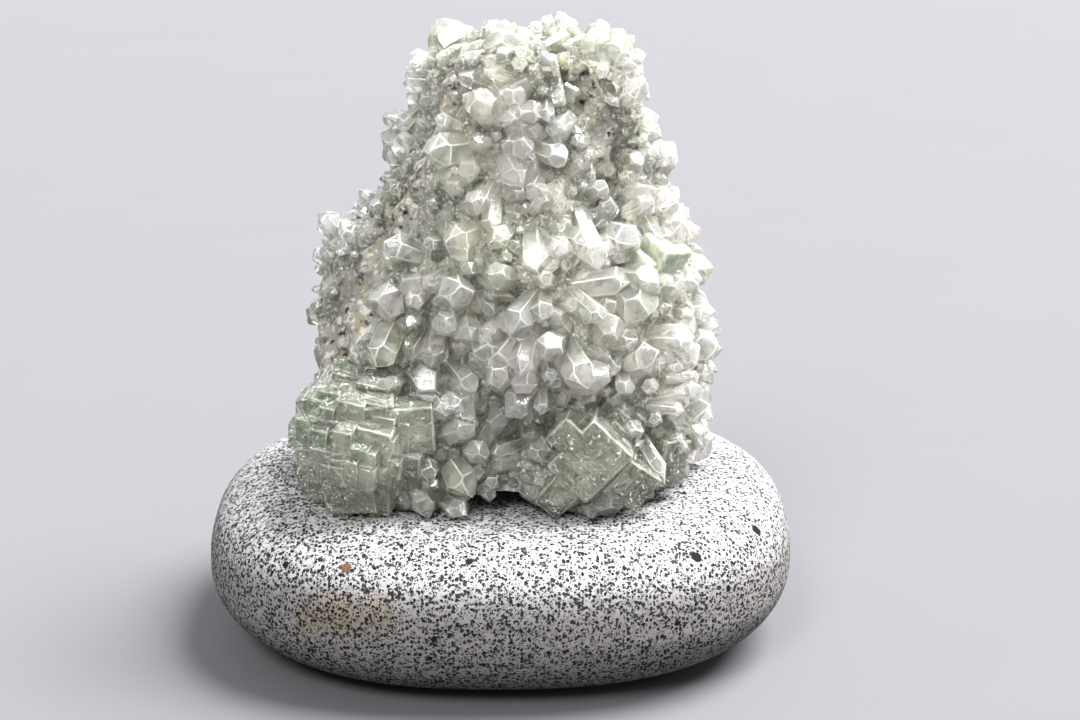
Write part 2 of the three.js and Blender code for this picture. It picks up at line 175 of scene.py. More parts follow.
# The larger strewn points, at the same places as in the solids
STREWN = {
    "seed": 4127,
    "tries": 2600,
    "most": 104,
    "spacing": 5.7,
    "width": 4.6,
    "back_spacing": 9.6,
    "back_width": 5.8,
    "back_from": 40,
    "back_to": 185,
    "width_spread": 1.9,
    "length": 2.7,
    "length_per_width": 0.25,
    "length_spread": 1.4,
    "least_lean": 6,
    "lean_spread": 44,
    "lowest": 0.02,
    "cap_share": 0.8,
}

# The smaller points. The length is a start and a share of the width. Near is the share of a larger point's
# half width that they keep off its root.
MIDDLE_POINTS = {
    "tries": 9000,
    "spacing": 2.6,
    "width": (2.6, 4.4),
    "length": (1.2, 1.05),
    "lean": (15, 68),
    "root_rise": 0.7,
    "near": 0.55,
}
FINE_POINTS = {
    "tries": 14000,
    "spacing": 1.45,
    "width": (1.6, 2.6),
    "length": (1.0, 0.8),
    "lean": (10, 60),
    "root_rise": 0.6,
    "near": 0.6,
}
# Lean in degrees, width and length as shares of the crystal that they stand beside
TWINS = {"lean": (26, 58), "width": (0.5, 0.85), "length": (0.65, 0.98)}
# From which bearing on, and the margins from bare rock at which crystals have no size and their full size
ROCK_FADES = [[0, -1.5, 6.5], [210, 0.0, 9.0], [260, -1.6, 3.6]]
LEAST_SHARE = 0.3
# The visual points are slimmer than their stated width by this share
SLIMNESS = 0.86

# Blocks of fluorite: across, depth, height over the seat, three edges, then roll, pitch and yaw in degrees
LEFT_BLOCKS = [
    [-16.9, -11.4, 8.2, 11.0, 11.0, 13.0, 8, 14, -18],
    [-10.9, -13.6, 12.4, 5.6, 8.0, 6.2, -3, 4, 4],
    [-18.2, -14.4, 4.6, 6.4, 7.0, 6.0, -4, 12, -6],
    [-14.6, -14.6, 9.2, 5.0, 6.6, 3.6, 2, 2, 6],
    [-13.2, -13.2, 4.6, 4.0, 5.6, 4.2, 16, 8, 20],
    [-22.4, -10.2, 4.2, 5.0, 5.0, 5.4, -14, 10, -28],
    [-19.6, -12.2, 13.6, 7.0, 6.0, 5.4, 20, 24, -24],
    [-15.2, -14.4, 14.2, 5.4, 5.4, 5.0, -10, 26, 4],
    [-10.4, -13.2, 7.0, 4.0, 5.0, 3.8, 4, 6, 12],
]
RIGHT_BLOCKS = [
    [11.7, -14.4, 8.2, 6.8, 8.6, 8.6, 43, -4, -6],
    [9.7, -14.2, 10.4, 6.0, 8.2, 3.8, 43, -4, -6],
    [9.2, -14.2, 7.8, 3.6, 7.6, 4.4, 43, -4, -6],
    [16.0, -15.0, 5.2, 5.4, 5.6, 5.4, 38, 8, 14],
    [7.4, -14.0, 3.0, 4.0, 6.0, 4.4, 40, 4, -6],
]
SIDE_BLOCKS = [[20.4, -9.0, 5.4, 4.6, 5.4, 6.2, 12, 6, 40]]
UPPER_BLOCKS = [
    [20.4, -6.8, 31.6, 5.2, 4.4, 3.6, 12, 24, 44],
    [18.2, -8.2, 30.6, 3.4, 3.6, 2.8, 12, 24, 44],
]
ALL_BLOCKS = LEFT_BLOCKS + RIGHT_BLOCKS + SIDE_BLOCKS + UPPER_BLOCKS
FLUORITE_REACH = 1.2
# Crystals and blocks stay this far over the seat, and the crust stays this far off the fluorite
HAIR = 0.02
# A crystal whose foot is under the seat is lifted over it by this much, or left out where it lies too deep
FOOT_CLEARANCE = 0.05
MOST_LIFT = 3

# Cubes around a group: middle (across, depth, height over the seat), three reaches, count, edges, edge width
LEFT_SLOPES = [
    [[-18.0, -8.6, 9.6], [7.0, 8.6, 8.0], 420, [0.7, 2.0], 0.0],
    [[-16.6, -9.3, 9.4], [7.7, 9.3, 7.8], 84, [1.8, 4.2], 0.1],
]
RIGHT_SLOPES = [[[12.2, -10.6, 8.2], [6.0, 7.6, 6.0], 60, [0.8, 2.4], 0.08]]

# Green places of the crust: across, height over the seat, reach, strength. The two lowest, at heights 6 and 9
# under the overhang, are partly painted shade there.
GREEN_PLACES = [
    [-2.0, 34.5, 5.0, 1.0],
    [-8.0, 44.0, 6.0, 0.7],
    [-6.0, 52.0, 5.0, 0.6],
    [-16.0, 32.0, 5.0, 0.6],
    [-16.0, 18.0, 8.0, 0.8],
    [-8.0, 6.0, 8.0, 0.8],
    [6.5, 9.0, 5.0, 0.8],
    [14.5, 12.0, 5.0, 0.6],
    [20.0, 28.0, 5.0, 0.7],
    [20.0, 8.0, 5.0, 0.7],
    [11.0, 25.0, 4.0, 0.5],
]

# Spots on the pebble: across, deep, height, reach, share, kind
PEBBLE_SPOTS = [
    [24.5, -22.2, 18.7, 0.8, 1.0, "black"],
    [32.5, -13.5, 18.4, 0.8, 1.0, "black"],
    [-18.3, -25.3, 18.7, 0.7, 0.9, "rust"],
    [-19.1, -27.9, 13.7, 4.2, 0.8, "stain"],
    [-14.2, -29.1, 14.5, 3.4, 0.6, "stain"],
    [-23.2, -26.3, 12.0, 3.4, 0.6, "stain"],
]

# In millimetres
FLOOR_REACH = 3000.0
# Which way the sky is brightest
BRIGHT_SKY = (0.25, 0.35, 0.9)
# In metres, degrees and millimetres
CAMERA = {"at": (0.00514, -0.3082, 0.1483), "elevation": 20.0, "lens": 85.0, "sensor": 36.0}


# Numbers of a mesh's finishes
EDGE, GROUND = 1, 2


# Shapes


def along(table, height):
    """Straight runs between the rows of a table whose first column rises, one array for each other column."""
    rows = np.array(table, float)
    return [np.interp(height, rows[:, 0], column) for column in rows.T[1:]]


def angle_between(a, b):
    """From -180 to 180 degrees."""
    return (((a - b) % 360) + 540) % 360 - 180


def bump(distance, spread):
    return np.exp(-((distance / spread) ** 2))


def smooth(value, low, high):
    """0 under low, 1 over high, and a smooth run between."""
    t = np.clip((value - low) / (high - low), 0, 1)
    return t * t * (3 - 2 * t)


def noise(points, size, seed=0):
    """Smooth random values from -1 to 1: hashed values on a grid of that size, blended with a smooth step."""
    cell = np.floor(points / size)
    part = points / size - cell
    part = part * part * (3 - 2 * part)
    cell = cell.astype(np.int64)
    total = np.zeros(points.shape[:-1])
    for corner in np.ndindex(2, 2, 2):
        spot = (cell + np.array(corner)) @ np.array([73856093, 19349663, 83492791]) + seed * 7919
        spot = ((spot ^ (spot >> 13)) * 1274126177) & 0x7FFFFFFF
        spot = ((spot ^ (spot >> 15)) * 739981) & 0x7FFFFFFF
        weight = np.prod(np.where(corner, part, 1 - part), axis=-1)
        total += weight * (spot / 0x3FFFFFFF - 1)
    return total


def swelling(bearing, height):
    """Waves around the rock plus its broad swellings and hollows."""
    angle = np.radians(bearing)
    waves = sum(out * np.sin(around * angle + turn * height + phase) for out, around, turn, phase in WAVES)
    return waves + sum(
        out * bump(angle_between(bearing, at), spread) * bump(height - up, rise)
        for at, up, spread, rise, out in SWELLINGS
    )


def place(bearing, climb, rise):
    """A point of the rock's skin moved out by a rise.

    In plan it is a superellipse through the left, right, front and back reach at its height. The climb runs
    from 0 at the seat to 1 at the shoulder and on over the top, where the plan shrinks as a cosine while the
    height grows as a sine. Arches lift the lowest edge.
    """
    bearing, climb, rise = np.broadcast_arrays(*(np.asarray(v, float) for v in (bearing, climb, rise)))
    cosine, sine = np.cos(np.radians(bearing)), np.sin(np.radians(bearing))
    tilt = np.clip((climb - 1) / CAP_SPAN, 0, 1) * np.pi / 2
    height = np.minimum(climb, 1) * SHOULDER
    left, right, front, back = along(STATIONS, height)
    shrink = np.cos(tilt).clip(0) ** CAP_FULLNESS
    out = (rise + swelling(bearing, height)) * shrink
    power = 2 / ROCK_SQUARENESS
    x = (left + right + shrink * np.sign(cosine) * np.abs(cosine) ** power * (right - left)) / 2
    y = (front + back + shrink * np.sign(sine) * np.abs(sine) ** power * (back - front)) / 2
    arch = sum(up * bump(angle_between(bearing, at), spread) for at, spread, up in ARCHES) - FOOT_SINK
    arch = arch * np.maximum(0, 1 - height / UNDERCUT_FADE) ** 2
    cap = (CAP_HEIGHT + rise) * np.sin(tilt) ** CAP_RISE
    return np.stack([x + out * cosine, y + out * sine, SEAT + height + arch + cap], -1)


def outward(bearing, climb):
    """The way out of the rock: the cross product of the steps around it and up it."""
    around = place(bearing + 1, climb, 0) - place(bearing - 1, climb, 0)
    up = place(bearing, climb + 0.01, 0) - place(bearing, np.maximum(0, climb - 0.01), 0)
    return unit(np.cross(around, up))


def unit(vectors):
    return vectors / np.linalg.norm(vectors, axis=-1, keepdims=True)


def plan_of(points):
    """How far points lie across and deep from the rock's axis, and half its width and depth there."""
    left, right, front, back = along(STATIONS, points[..., 2] - SEAT)
    across = points[..., 0] - (left + right) / 2
    deep = points[..., 1] - (front + back) / 2
    return across, deep, (right - left) / 2, (back - front) / 2


def rise_over_rock(points):
    """How far points stand out of the rock's skin: the superellipse's own distance at their height."""
    height = points[..., 2] - SEAT
    across, deep, half_width, half_depth = plan_of(points)
    u, v = across / half_width, deep / half_depth
    reach = (np.abs(u) ** ROCK_SQUARENESS + np.abs(v) ** ROCK_SQUARENESS) ** (1 / ROCK_SQUARENESS)
    half = ROCK_SQUARENESS / 2
    bearing = np.degrees(np.arctan2(np.sign(v) * np.abs(v) ** half, np.sign(u) * np.abs(u) ** half))
    side = np.hypot(across, deep) * (1 - 1 / np.maximum(reach, 1e-6)) - swelling(bearing, height)
    return np.maximum(side, height - SHOULDER - CAP_HEIGHT)


def bearing_of(points):
    """The bearing of points around the rock's middle axis, from 0 to 360 degrees."""
    across, deep, half_width, half_depth = plan_of(points)
    return np.degrees(np.arctan2(deep / half_depth, across / half_width)) % 360


def cover_margin(bearing, height):
    """Millimetres from the nearest edge of bare rock: under 0 where it is bare, over 0 under the crust."""
    margins = []
    for table in (LEFT_BAND, RIGHT_BAND):
        middle, spread = along(table, height)
        beside = (np.abs(angle_between(bearing, middle)) - spread) * DEGREE_WIDTH
        margins.append(np.maximum(beside, table[0][0] - height))
    turned = angle_between(bearing, BACK_BREAK["bearing"]) / BACK_BREAK["half_spread"]
    raised = (height - BACK_BREAK["height"]) / BACK_BREAK["half_height"]
    wander = 0.22 * np.sin(0.16 * bearing + 0.9) + 0.16 * np.sin(0.37 * height)
    margins.append((np.hypot(turned, raised) - np.sqrt(1 + wander)) * BREAK_WIDTH)
    return np.minimum.reduce(margins)


def painted_shade_low_front(points):
    """Painted shade: 1 low on the front, where the ground between the crystals is painted darker as if in
    shade, and less at the top and the right, where the light falls.
    """
    height = points[:, 2] - SEAT
    return 1 - 0.9 * np.maximum(smooth(height, 30, 46), smooth(points[:, 0], 11, 20))


def draws(seed, count):
    """Repeatable random numbers from 0 to 1: each state is the last one times a number plus another."""
    state = seed
    values = []
    for _ in range(count):
        state = (1664525 * state + 1013904223) & 0xFFFFFFFF
        values.append(state / 2**32)
    return np.array(values)


def leaned(bearing, climb, lean, heading):
    """The way out of the rock, leaned over towards a heading on its surface. All angles are in radians."""
    normal = outward(bearing, climb)
    right = unit(np.stack([-normal[..., 1], normal[..., 0], np.zeros(len(normal))], -1))
    up = np.cross(normal, right)
    slant = right * np.cos(heading)[:, None] + up * np.sin(heading)[:, None]
    return unit(normal * np.cos(lean)[:, None] + slant * np.sin(lean)[:, None])


def near_block(points, reach):
    """True where a point is nearer to a block's middle than its largest half edge times the reach."""
    rows = np.array(ALL_BLOCKS, float)
    middles = rows[:, :3] + [0, 0, SEAT]
    distance = np.linalg.norm(points[:, None] - middles, axis=-1)
    return np.any(distance < rows[:, 3:6].max(1) / 2 * reach, axis=1)


def marked_crystals():
    """The points that can be told apart on the front, as arrays."""
    across, height, width, length, lean, heading = np.array(MARKED_POINTS).T
    left, right, _, _ = along(STATIONS, height)
    share = (across - (left + right) / 2) / ((right - left) / 2 + CRUST_THICKNESS)
    cosine = np.sign(share) * np.minimum(1, np.abs(share)) ** (ROCK_SQUARENESS / 2)
    bearing = 360 - np.degrees(np.arccos(cosine))
    climb = height / SHOULDER
    chance = draws(STREWN["seed"], 3 * len(across)).reshape(-1, 3)
    return {
        "root": place(bearing, climb, ROOT_RISE),
        "axis": leaned(bearing, climb, np.radians(lean), np.radians(heading)),
        "width": width,
        "length": length,
        "spin": chance[:, 0] * np.pi,
        "shift": (chance[:, 1:] - 0.5) * TIP_SHIFT,
        "margin": np.full(len(width), 9.0),
    }


def thinned(order, root, spacing, taken, most=None):
    """The numbers of the roots that are kept: each has its spacing from those before it and those taken."""
    near, kept = list(taken), []
    for i in order:
        if len(kept) == most:
            break
        if near and np.linalg.norm(np.array(near) - root[i], axis=1).min() < spacing[i]:
            continue
        near.append(root[i])
        kept.append(i)
    return kept


def strewn_crystals(marked):
    """The larger strewn points, where nothing earlier is near and the crust covers the rock."""
    facts = STREWN
    first = 3 * len(marked["width"])
    chance = draws(facts["seed"], first + 8 * facts["tries"])[first:].reshape(-1, 8)
    bearing = chance[:, 0] * 360
    climb = facts["lowest"] + chance[:, 1] * (1 - facts["lowest"] + CAP_SPAN * facts["cap_share"])
    size, lean, heading, spin = chance[:, 2:6].T
    height = np.minimum(1, climb) * SHOULDER
    root = place(bearing, climb, ROOT_RISE)
    at_back = (bearing > facts["back_from"]) & (bearing < facts["back_to"])
    spacing = np.where(at_back, facts["back_spacing"], facts["spacing"]) * (0.75 + size / 2)
    in_hollow = height < HOLLOW["height"]
    in_hollow &= np.abs(angle_between(bearing, HOLLOW["bearing"])) < HOLLOW["half_spread"]
    margin = cover_margin(bearing, height)
    open_ground = (margin >= 0) & ~in_hollow & ~near_block(root, FLUORITE_REACH)
    kept = thinned(np.flatnonzero(open_ground), root, spacing, marked["root"], facts["most"])
    width = np.where(at_back, facts["back_width"], facts["width"]) + facts["width_spread"] * size
    leaning = np.radians(facts["least_lean"] + facts["lean_spread"] * lean)
    crystals = {
        "root": root,
        "axis": leaned(bearing, climb, leaning, heading * 2 * np.pi),
        "width": width,
        "length": facts["length"] + facts["length_per_width"] * width + facts["length_spread"] * lean,
        "spin": spin * np.pi,
        "shift": (chance[:, 6:] - 0.5) * TIP_SHIFT,
        "margin": margin,
    }
    return only(crystals, kept)


def scattered_crystals(taken, rng, tries, spacing, width, length, lean, root_rise, near):
    """Smaller points between the larger ones, each spaced from its own kind and the larger roots."""
    bearing = rng.uniform(0, 360, tries)
    climb = rng.uniform(0.0, 1 + CAP_SPAN * 0.95, tries)
    height = np.minimum(1, climb) * SHOULDER
    size = rng.uniform(0, 1, tries)
    root = place(bearing, climb, root_rise)
    margin = cover_margin(bearing, height)
    open_ground = (margin > width[0] * 0.4) & ~near_block(root, 0.9)
    reach = taken["width"] / 2 * near + width[0] * 0.25
    free = []
    for i in np.flatnonzero(open_ground):
        if np.all(np.linalg.norm(taken["root"] - root[i], axis=1) >= reach):
            free.append(i)
    kept = thinned(free, root, spacing * (0.75 + size / 2), [])
    wide = width[0] + (width[1] - width[0]) * size**1.5
    leaning = np.radians(rng.uniform(*lean, tries))
    crystals = {
        "root": root,
        "axis": leaned(bearing, climb, leaning, rng.uniform(0, 2 * np.pi, tries)),
        "width": wide,
        "length": length[0] + length[1] * wide * rng.uniform(0.8, 1.25, tries),
        "spin": rng.uniform(0, np.pi, tries),
        "shift": rng.uniform(-0.15, 0.15, (tries, 2)),
        "margin": margin,
    }
    return only(crystals, kept)


def only(crystals, kept):
    """The rows of the crystals that are kept."""
    return {key: values[kept] for key, values in crystals.items()}


def merged(*groups):
    return {key: np.concatenate([g[key] for g in groups]) for key in groups[0]}


def lowered_near_rock(crystals):
    """Crystals that shrink towards bare rock: close beside the seam, and from further by the left band."""
    bearing = bearing_of(crystals["root"])
    share = 0
    for start, none, full in ROCK_FADES:
        share = np.where(bearing >= start, smooth(crystals["margin"], none, full), share)
    lowered = {**crystals, "width": crystals["width"] * share, "length": crystals["length"] * share}
    return only(lowered, share > LEAST_SHARE)


def siblings(crystals, rng, lean, width, length):
    """One smaller crystal from the root of each, leaning away from it to a random side."""
    count = len(crystals["width"])
    axis = crystals["axis"]
    aside = unit(np.cross(axis, unit(rng.normal(size=(count, 3)))))
    turn = np.radians(rng.uniform(*lean, count))[:, None]
    wide = crystals["width"] * rng.uniform(*width, count)
    return {
        **crystals,
        "root": crystals["root"] + aside * wide[:, None] * 0.25,
        "axis": unit(axis * np.cos(turn) + aside * np.sin(turn)),
        "width": wide,
        "length": crystals["length"] * rng.uniform(*length, count),
        "spin": rng.uniform(0, np.pi, count),
        "shift": rng.uniform(-0.15, 0.15, (count, 2)),
    }


# A quartz point's faces, by its 22 corners: six at the root, six at the shoulder, two for each of the three
# lesser tip faces on the prism, one at the head of each lesser face, and the tip
POINT_FACES = [
    np.array([[5, 4, 3, 2, 1, 0]]),
    np.array([[5, 0, 6, 11], [1, 2, 8, 7], [3, 4, 10, 9]]),
    np.array([[0, 1, 7, 13, 12, 6], [2, 3, 9, 15, 14, 8], [4, 5, 11, 17, 16, 10]]),
    np.array([[12, 13, 18], [14, 15, 19], [16, 17, 20]]),
    np.array([[11, 6, 12, 18, 21, 20, 17], [7, 8, 14, 19, 21, 18, 13], [9, 10, 16, 20, 21, 19, 15]]),
]


def point_corners(crystals, rng):
    """The 22 corners of every quartz point.

    A six-sided prism is cut by six sloping planes. Three of them meet at the tip. The other three stand
    further out, so they show as lesser triangles whose base lies on the prism. The whole is sheared so that
    the tip stands off the root, flattened a little, and turned so that its own axis follows the crystal's.
    """
    count = len(crystals["width"])
    half = crystals["width"] * np.cos(np.pi / 6) / 2 * SLIMNESS
    slope = 2 * TIP_STEEPNESS * rng.uniform(0.85, 1.25, count) * half
    trim = rng.uniform(0.12, 0.4, (count, 3))
    length = crystals["length"]
    sixth = np.pi / 3
    corner = (np.arange(6) + 0.5) * sixth
    ring = np.stack([np.cos(corner), np.sin(corner)], -1) / np.cos(sixth / 2)
    flat = np.empty((count, 22, 2))
    level = np.empty((count, 22))
    flat[:, 0:6] = ring * rng.uniform(0.78, 1.0, count)[:, None, None]
    level[:, 0:6] = 0
    flat[:, 6:12] = ring
    level[:, 6:12] = (length - slope)[:, None]
    for side in range(3):
        angle = (2 * side + 1) * sixth
        face = np.array([np.cos(angle), np.sin(angle)])
        across = np.array([-np.sin(angle), np.cos(angle)])
        reach = ((0.5 - trim[:, side]) / np.sin(sixth))[:, None]
        flat[:, 12 + 2 * side] = face - reach * across
        flat[:, 13 + 2 * side] = face + reach * across
        level[:, 12 + 2 * side : 14 + 2 * side] = (length - slope + trim[:, side] * slope)[:, None]
        flat[:, 18 + side] = 2 * trim[:, side, None] * face
        level[:, 18 + side] = length - trim[:, side] * slope
    flat[:, 21] = 0
    level[:, 21] = length
    flat = flat * half[:, None, None]
    flat[..., 1] *= rng.uniform(0.78, 1.0, count)[:, None]
    spin = crystals["spin"][:, None]
    x = flat[..., 0] * np.cos(spin) - flat[..., 1] * np.sin(spin)
    y = flat[..., 0] * np.sin(spin) + flat[..., 1] * np.cos(spin)
    share = level / length[:, None] * crystals["width"][:, None]
    x = x + crystals["shift"][:, 0, None] * share
    y = y + crystals["shift"][:, 1, None] * share
    local = np.stack([x, y, level], -1)
    return np.einsum("nij,nkj->nki", turn_to(crystals["axis"]), local) + crystals["root"][:, None]


def turn_to(axis):
    """Matrices that turn +Z to each axis by the shortest way."""
    ax, ay, az = axis.T
    k = 1 / (1 + az)
    rows = [1 - ax * ax * k, -ax * ay * k, ax], [-ax * ay * k, 1 - ay * ay * k, ay], [-ax, -ay, az]
    return np.stack([np.stack(row, -1) for row in rows], -2)


BOX_CORNERS = np.array(list(np.ndindex(2, 2, 2))) - 0.5
BOX_FACES = [np.array([[0, 1, 3, 2], [4, 6, 7, 5], [0, 4, 5, 1], [2, 3, 7, 6], [0, 2, 6, 4], [1, 5, 7, 3]])]


def block_turns(blocks):
    """Matrices for yaw about Z, then pitch about X, then roll about Y."""
    roll, pitch, yaw = np.radians(np.array(blocks, float)[:, 6:9]).T

    def about(angle, first, second):
        """Turns the first axis towards the second."""
        turn = np.tile(np.eye(3), (len(blocks), 1, 1))
        turn[:, first, first] = turn[:, second, second] = np.cos(angle)
        turn[:, second, first] = np.sin(angle)
        turn[:, first, second] = -np.sin(angle)
        return turn

    return about(yaw, 0, 1) @ about(pitch, 1, 2) @ about(roll, 2, 0)


def block_corners(blocks, margin=0.0):
    """The eight corners of every block, grown by a margin."""
    rows = np.array(blocks, float)
    local = BOX_CORNERS * (rows[:, None, 3:6] + 2 * margin)
    middles = rows[:, :3] + [0, 0, SEAT]
    return np.einsum("nij,nkj->nki", block_turns(blocks), local) + middles[:, None]


def growth_steps(blocks, rng, plates, step, largest):
    """Low terraces on the faces of blocks: plates of random size that stand out by a small step."""
    rows = []
    for block, turn in zip(np.array(blocks, float), block_turns(blocks)):
        edges = block[3:6]
        count = int(plates * min(edges) / 4)
        side = rng.integers(0, 3, count)
        sign = np.where(rng.random(count) < 0.5, -1, 1)
        size = edges * rng.uniform(0.06, largest, (count, 3))
        spot = (edges - size) / 2 * rng.uniform(-0.86, 0.86, (count, 3))
        here = np.arange(count)
        size[here, side] = rng.uniform(0.5, 1.2, count)
        proud = rng.uniform(*step, count) * min(edges)
        spot[here, side] = sign * (edges[side] / 2 - size[here, side] / 2 + proud)
        middles = block[:3] + spot @ turn.T
        rows.append(np.column_stack([middles, size, np.tile(block[6:9], (count, 1))]))
    return np.concatenate(rows)


def stepped_slope(slope, like, rng):
    """Small cubes, all turned like one block, strewn over the outer side of an ellipsoid."""
    middle, reach, count, edges, _ = slope
    way = unit(rng.normal(size=(count, 3)))
    way[:, 1] = -np.abs(way[:, 1])
    way[:, 2] = np.maximum(way[:, 2], -0.3)
    size = rng.uniform(*edges, (count, 3))
    spots = np.array(middle) + way * np.array(reach)
    return np.column_stack([spots, size, np.tile(like[6:9], (count, 1))])


def ringed_surface(rings, low, high):
    """Points and faces of a closed surface from rings of equally many points and a point at each end."""
    count, sides = rings.shape[:2]
    points = np.concatenate([rings.reshape(-1, 3), [low, high]])
    ring, side = np.meshgrid(np.arange(count - 1) * sides, np.arange(sides), indexing="ij")
    after = (side + 1) % sides
    above = ring + sides
    quads = np.stack([ring + side, ring + after, above + after, above + side], -1).reshape(-1, 4)
    edge = np.arange(sides)
    turned = (edge + 1) % sides
    last = (count - 1) * sides
    bottom = np.stack([np.full(sides, count * sides), turned, edge], -1)
    top = np.stack([last + edge, last + turned, np.full(sides, count * sides + 1)], -1)
    return points, [quads, bottom, top]


def skin_surface(rise_at, sides, rings, cap_rings):
    """The rock's skin moved out by rise_at(bearing, height, bare points), closed below and over the top."""
    cap = 1 + CAP_SPAN * np.arange(cap_rings) / cap_rings
    climb = np.concatenate([np.linspace(0, 1, rings, endpoint=False), cap])
    bearing, climbs = np.meshgrid(np.arange(sides) * 360 / sides, climb)
    bare = place(bearing, climbs, 0)
    points = place(bearing, climbs, rise_at(bearing, np.minimum(1, climbs) * SHOULDER, bare))
    inner = np.linspace(0.25, 1, 6, endpoint=False)[:, None, None]
    middle = np.array([0, 0, SEAT + UNDERSIDE_RISE])
    under = middle + (points[0] - middle) * inner
    points = np.concatenate([under, points])
    points[..., 2] = np.maximum(points[..., 2], SEAT + HAIR)
    top = place(0, 1 + CAP_SPAN, rise_at(np.zeros(1), np.full(1, SHOULDER), bare[-1:, 0])[0])
    return ringed_surface(points, middle, top)


# Meshes


def make_mesh(name, points, face_groups):
    """A mesh in metres from points in millimetres and arrays of faces, each with equally many corners."""
    mesh = bpy.data.meshes.new(name)
    sizes = np.concatenate([np.full(len(faces), faces.shape[1]) for faces in face_groups])
    corners = np.concatenate([faces.ravel() for faces in face_groups])
    mesh.vertices.add(len(points))
    mesh.vertices.foreach_set("co", (np.asarray(points) * MM).ravel())
    mesh.loops.add(len(corners))
    mesh.loops.foreach_set("vertex_index", corners)
    mesh.polygons.add(len(sizes))
    mesh.polygons.foreach_set("loop_start", np.concatenate([[0], np.cumsum(sizes)[:-1]]))
    mesh.update(calc_edges=True)
    return mesh


def many_bodies(name, corners, faces, tone):
    """One mesh of many like bodies, whose faces keep each body's own tone."""
    count, each = corners.shape[:2]
    starts = np.arange(count) * each
    groups = [(starts[:, None, None] + group).reshape(-1, group.shape[1]) for group in faces]
    tones = [np.repeat(tone, len(group)) for group in faces]
    mesh = make_mesh(name, corners.reshape(-1, 3), groups)
    set_values(mesh, "tone", np.concatenate(tones), "FACE")
    for _ in range(EDGE + 1):
        mesh.materials.append(None)
    return mesh


def set_values(mesh, name, values, domain="POINT"):
    layer = mesh.attributes.new(name, "FLOAT", domain)
    layer.data.foreach_set("value", np.asarray(values, np.float32))


def hollowness(mesh):
    """How hollow the surface is at each point: the mean slope from its own plane up to its neighbours."""
    count = len(mesh.vertices)
    points = points_of(mesh)
    normals = np.empty(count * 3, np.float32)
    mesh.vertex_normals.foreach_get("vector", normals)
    normals = normals.reshape(-1, 3)
    ends = np.empty(len(mesh.edges) * 2, np.int32)
    mesh.edges.foreach_get("vertices", ends)
    first, second = ends.reshape(-1, 2).T
    way = points[second] - points[first]
    way /= np.maximum(np.linalg.norm(way, axis=1, keepdims=True), 1e-6)
    total = np.bincount(first, (normals[first] * way).sum(1), count)
    total -= np.bincount(second, (normals[second] * way).sum(1), count)
    return total / np.maximum(np.bincount(ends, minlength=count), 1)


# Three whole numbers, each within 2048 of 0, added up with these strides give one that no others give
GRID_STRIDES = np.array([1, 4096, 4096**2])


def local_mean(points, values, size):
    """The mean of the values near each point, over three grids of cells, each shifted against the others."""
    total = np.zeros(len(points))
    for shift in (0.0, 0.37, 0.71):
        cell = np.floor(points / size + shift).astype(np.int64)
        _, which = np.unique(cell @ GRID_STRIDES, return_inverse=True)
        total += (np.bincount(which, values) / np.bincount(which))[which]
    return total / 3


def points_of(mesh):
    """The mesh's points in millimetres."""
    flat = np.empty(len(mesh.vertices) * 3, np.float32)
    mesh.vertices.foreach_get("co", flat)
    return flat.reshape(-1, 3).astype(float) / MM


def new_object(name, data):
    piece = bpy.data.objects.new(name, data)
    bpy.context.scene.collection.objects.link(piece)
    return piece


def modify(piece, name, kind, **settings):
    modifier = piece.modifiers.new(name, kind)
    for key, value in settings.items():
        setattr(modifier, key, value)


# Bodies of one batch stay this far apart
BATCH_GAP = 0.05


def apart(middles, reaches):
    """Deals bodies out to batches in which no two bounding spheres meet."""
    groups = []
    for i, middle in enumerate(middles):
        for group in groups:
            if np.all(np.linalg.norm(middles[group] - middle, axis=1) > reaches[group] + reaches[i]):
                group.append(i)
                break
        else:
            groups.append([i])
    return groups


def add_bodies(piece, corners, faces, tone, helpers, rounding=0.0, kind="UNION"):
    """Joins overlapping bodies to a closed piece, or cuts them out, in batches whose members stay apart."""
    middles = corners.mean(1)
    reaches = np.linalg.norm(corners - middles[:, None], axis=-1).max(1) + BATCH_GAP
    for group in apart(middles, reaches):
        name = f"{piece.name}_part_{len(helpers)}"
        helper = new_object(name, many_bodies(name, corners[group], faces, tone[group]))
        if rounding > 0:
            limit = {"limit_method": "ANGLE", "angle_limit": np.radians(15)}
            modify(helper, "rounding", "BEVEL", width=rounding * MM, segments=1, material=EDGE, **limit)
        modify(piece, name, "BOOLEAN", operation=kind, solver="MANIFOLD", object=helper)
        helpers.append(helper)


def settle(piece, helpers):
    """Turns the piece's modifiers into its mesh and removes the helpers."""
    bpy.context.view_layer.update()
    finished = bpy.data.meshes.new_from_object(piece.evaluated_get(bpy.context.evaluated_depsgraph_get()))
    piece.modifiers.clear()
    spent = [piece.data] + [helper.data for helper in helpers]
    piece.data = finished
    for helper in helpers:
        bpy.data.objects.remove(helper)
    for mesh in spent:
        bpy.data.meshes.remove(mesh)
    helpers.clear()
    finished.name = piece.name
    return finished


def set_finishes(mesh, *finishes):
    """Gives the mesh its finishes; faces whose number is past the last take the last."""
    numbers = np.empty(len(mesh.polygons), np.int32)
    mesh.polygons.foreach_get("material_index", numbers)
    mesh.materials.clear()
    for finish in finishes:
        mesh.materials.append(finish)
    mesh.polygons.foreach_set("material_index", np.minimum(numbers, len(finishes) - 1))


def share_edges(mesh, degrees):
    """Smooth faces whose edges stay sharp where they turn by more than the angle."""
    mesh.polygons.foreach_set("use_smooth", np.ones(len(mesh.polygons), bool))
    mesh.set_sharp_from_angle(angle=np.radians(degrees))


def keep_faces_flat(piece):
    """Lets the larger faces set the shading, so that they look flat and their narrow edges look round."""
    modify(piece, "flat faces", "WEIGHTED_NORMAL", mode="FACE_AREA", weight=90, keep_sharp=True)


def hand_over(piece, slot, *nodes):
    """The piece rides on the body and stands for its nodes, whose solids are hidden. The slot is not used."""
    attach(piece, "root")
    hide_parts(*nodes)


# Finishes

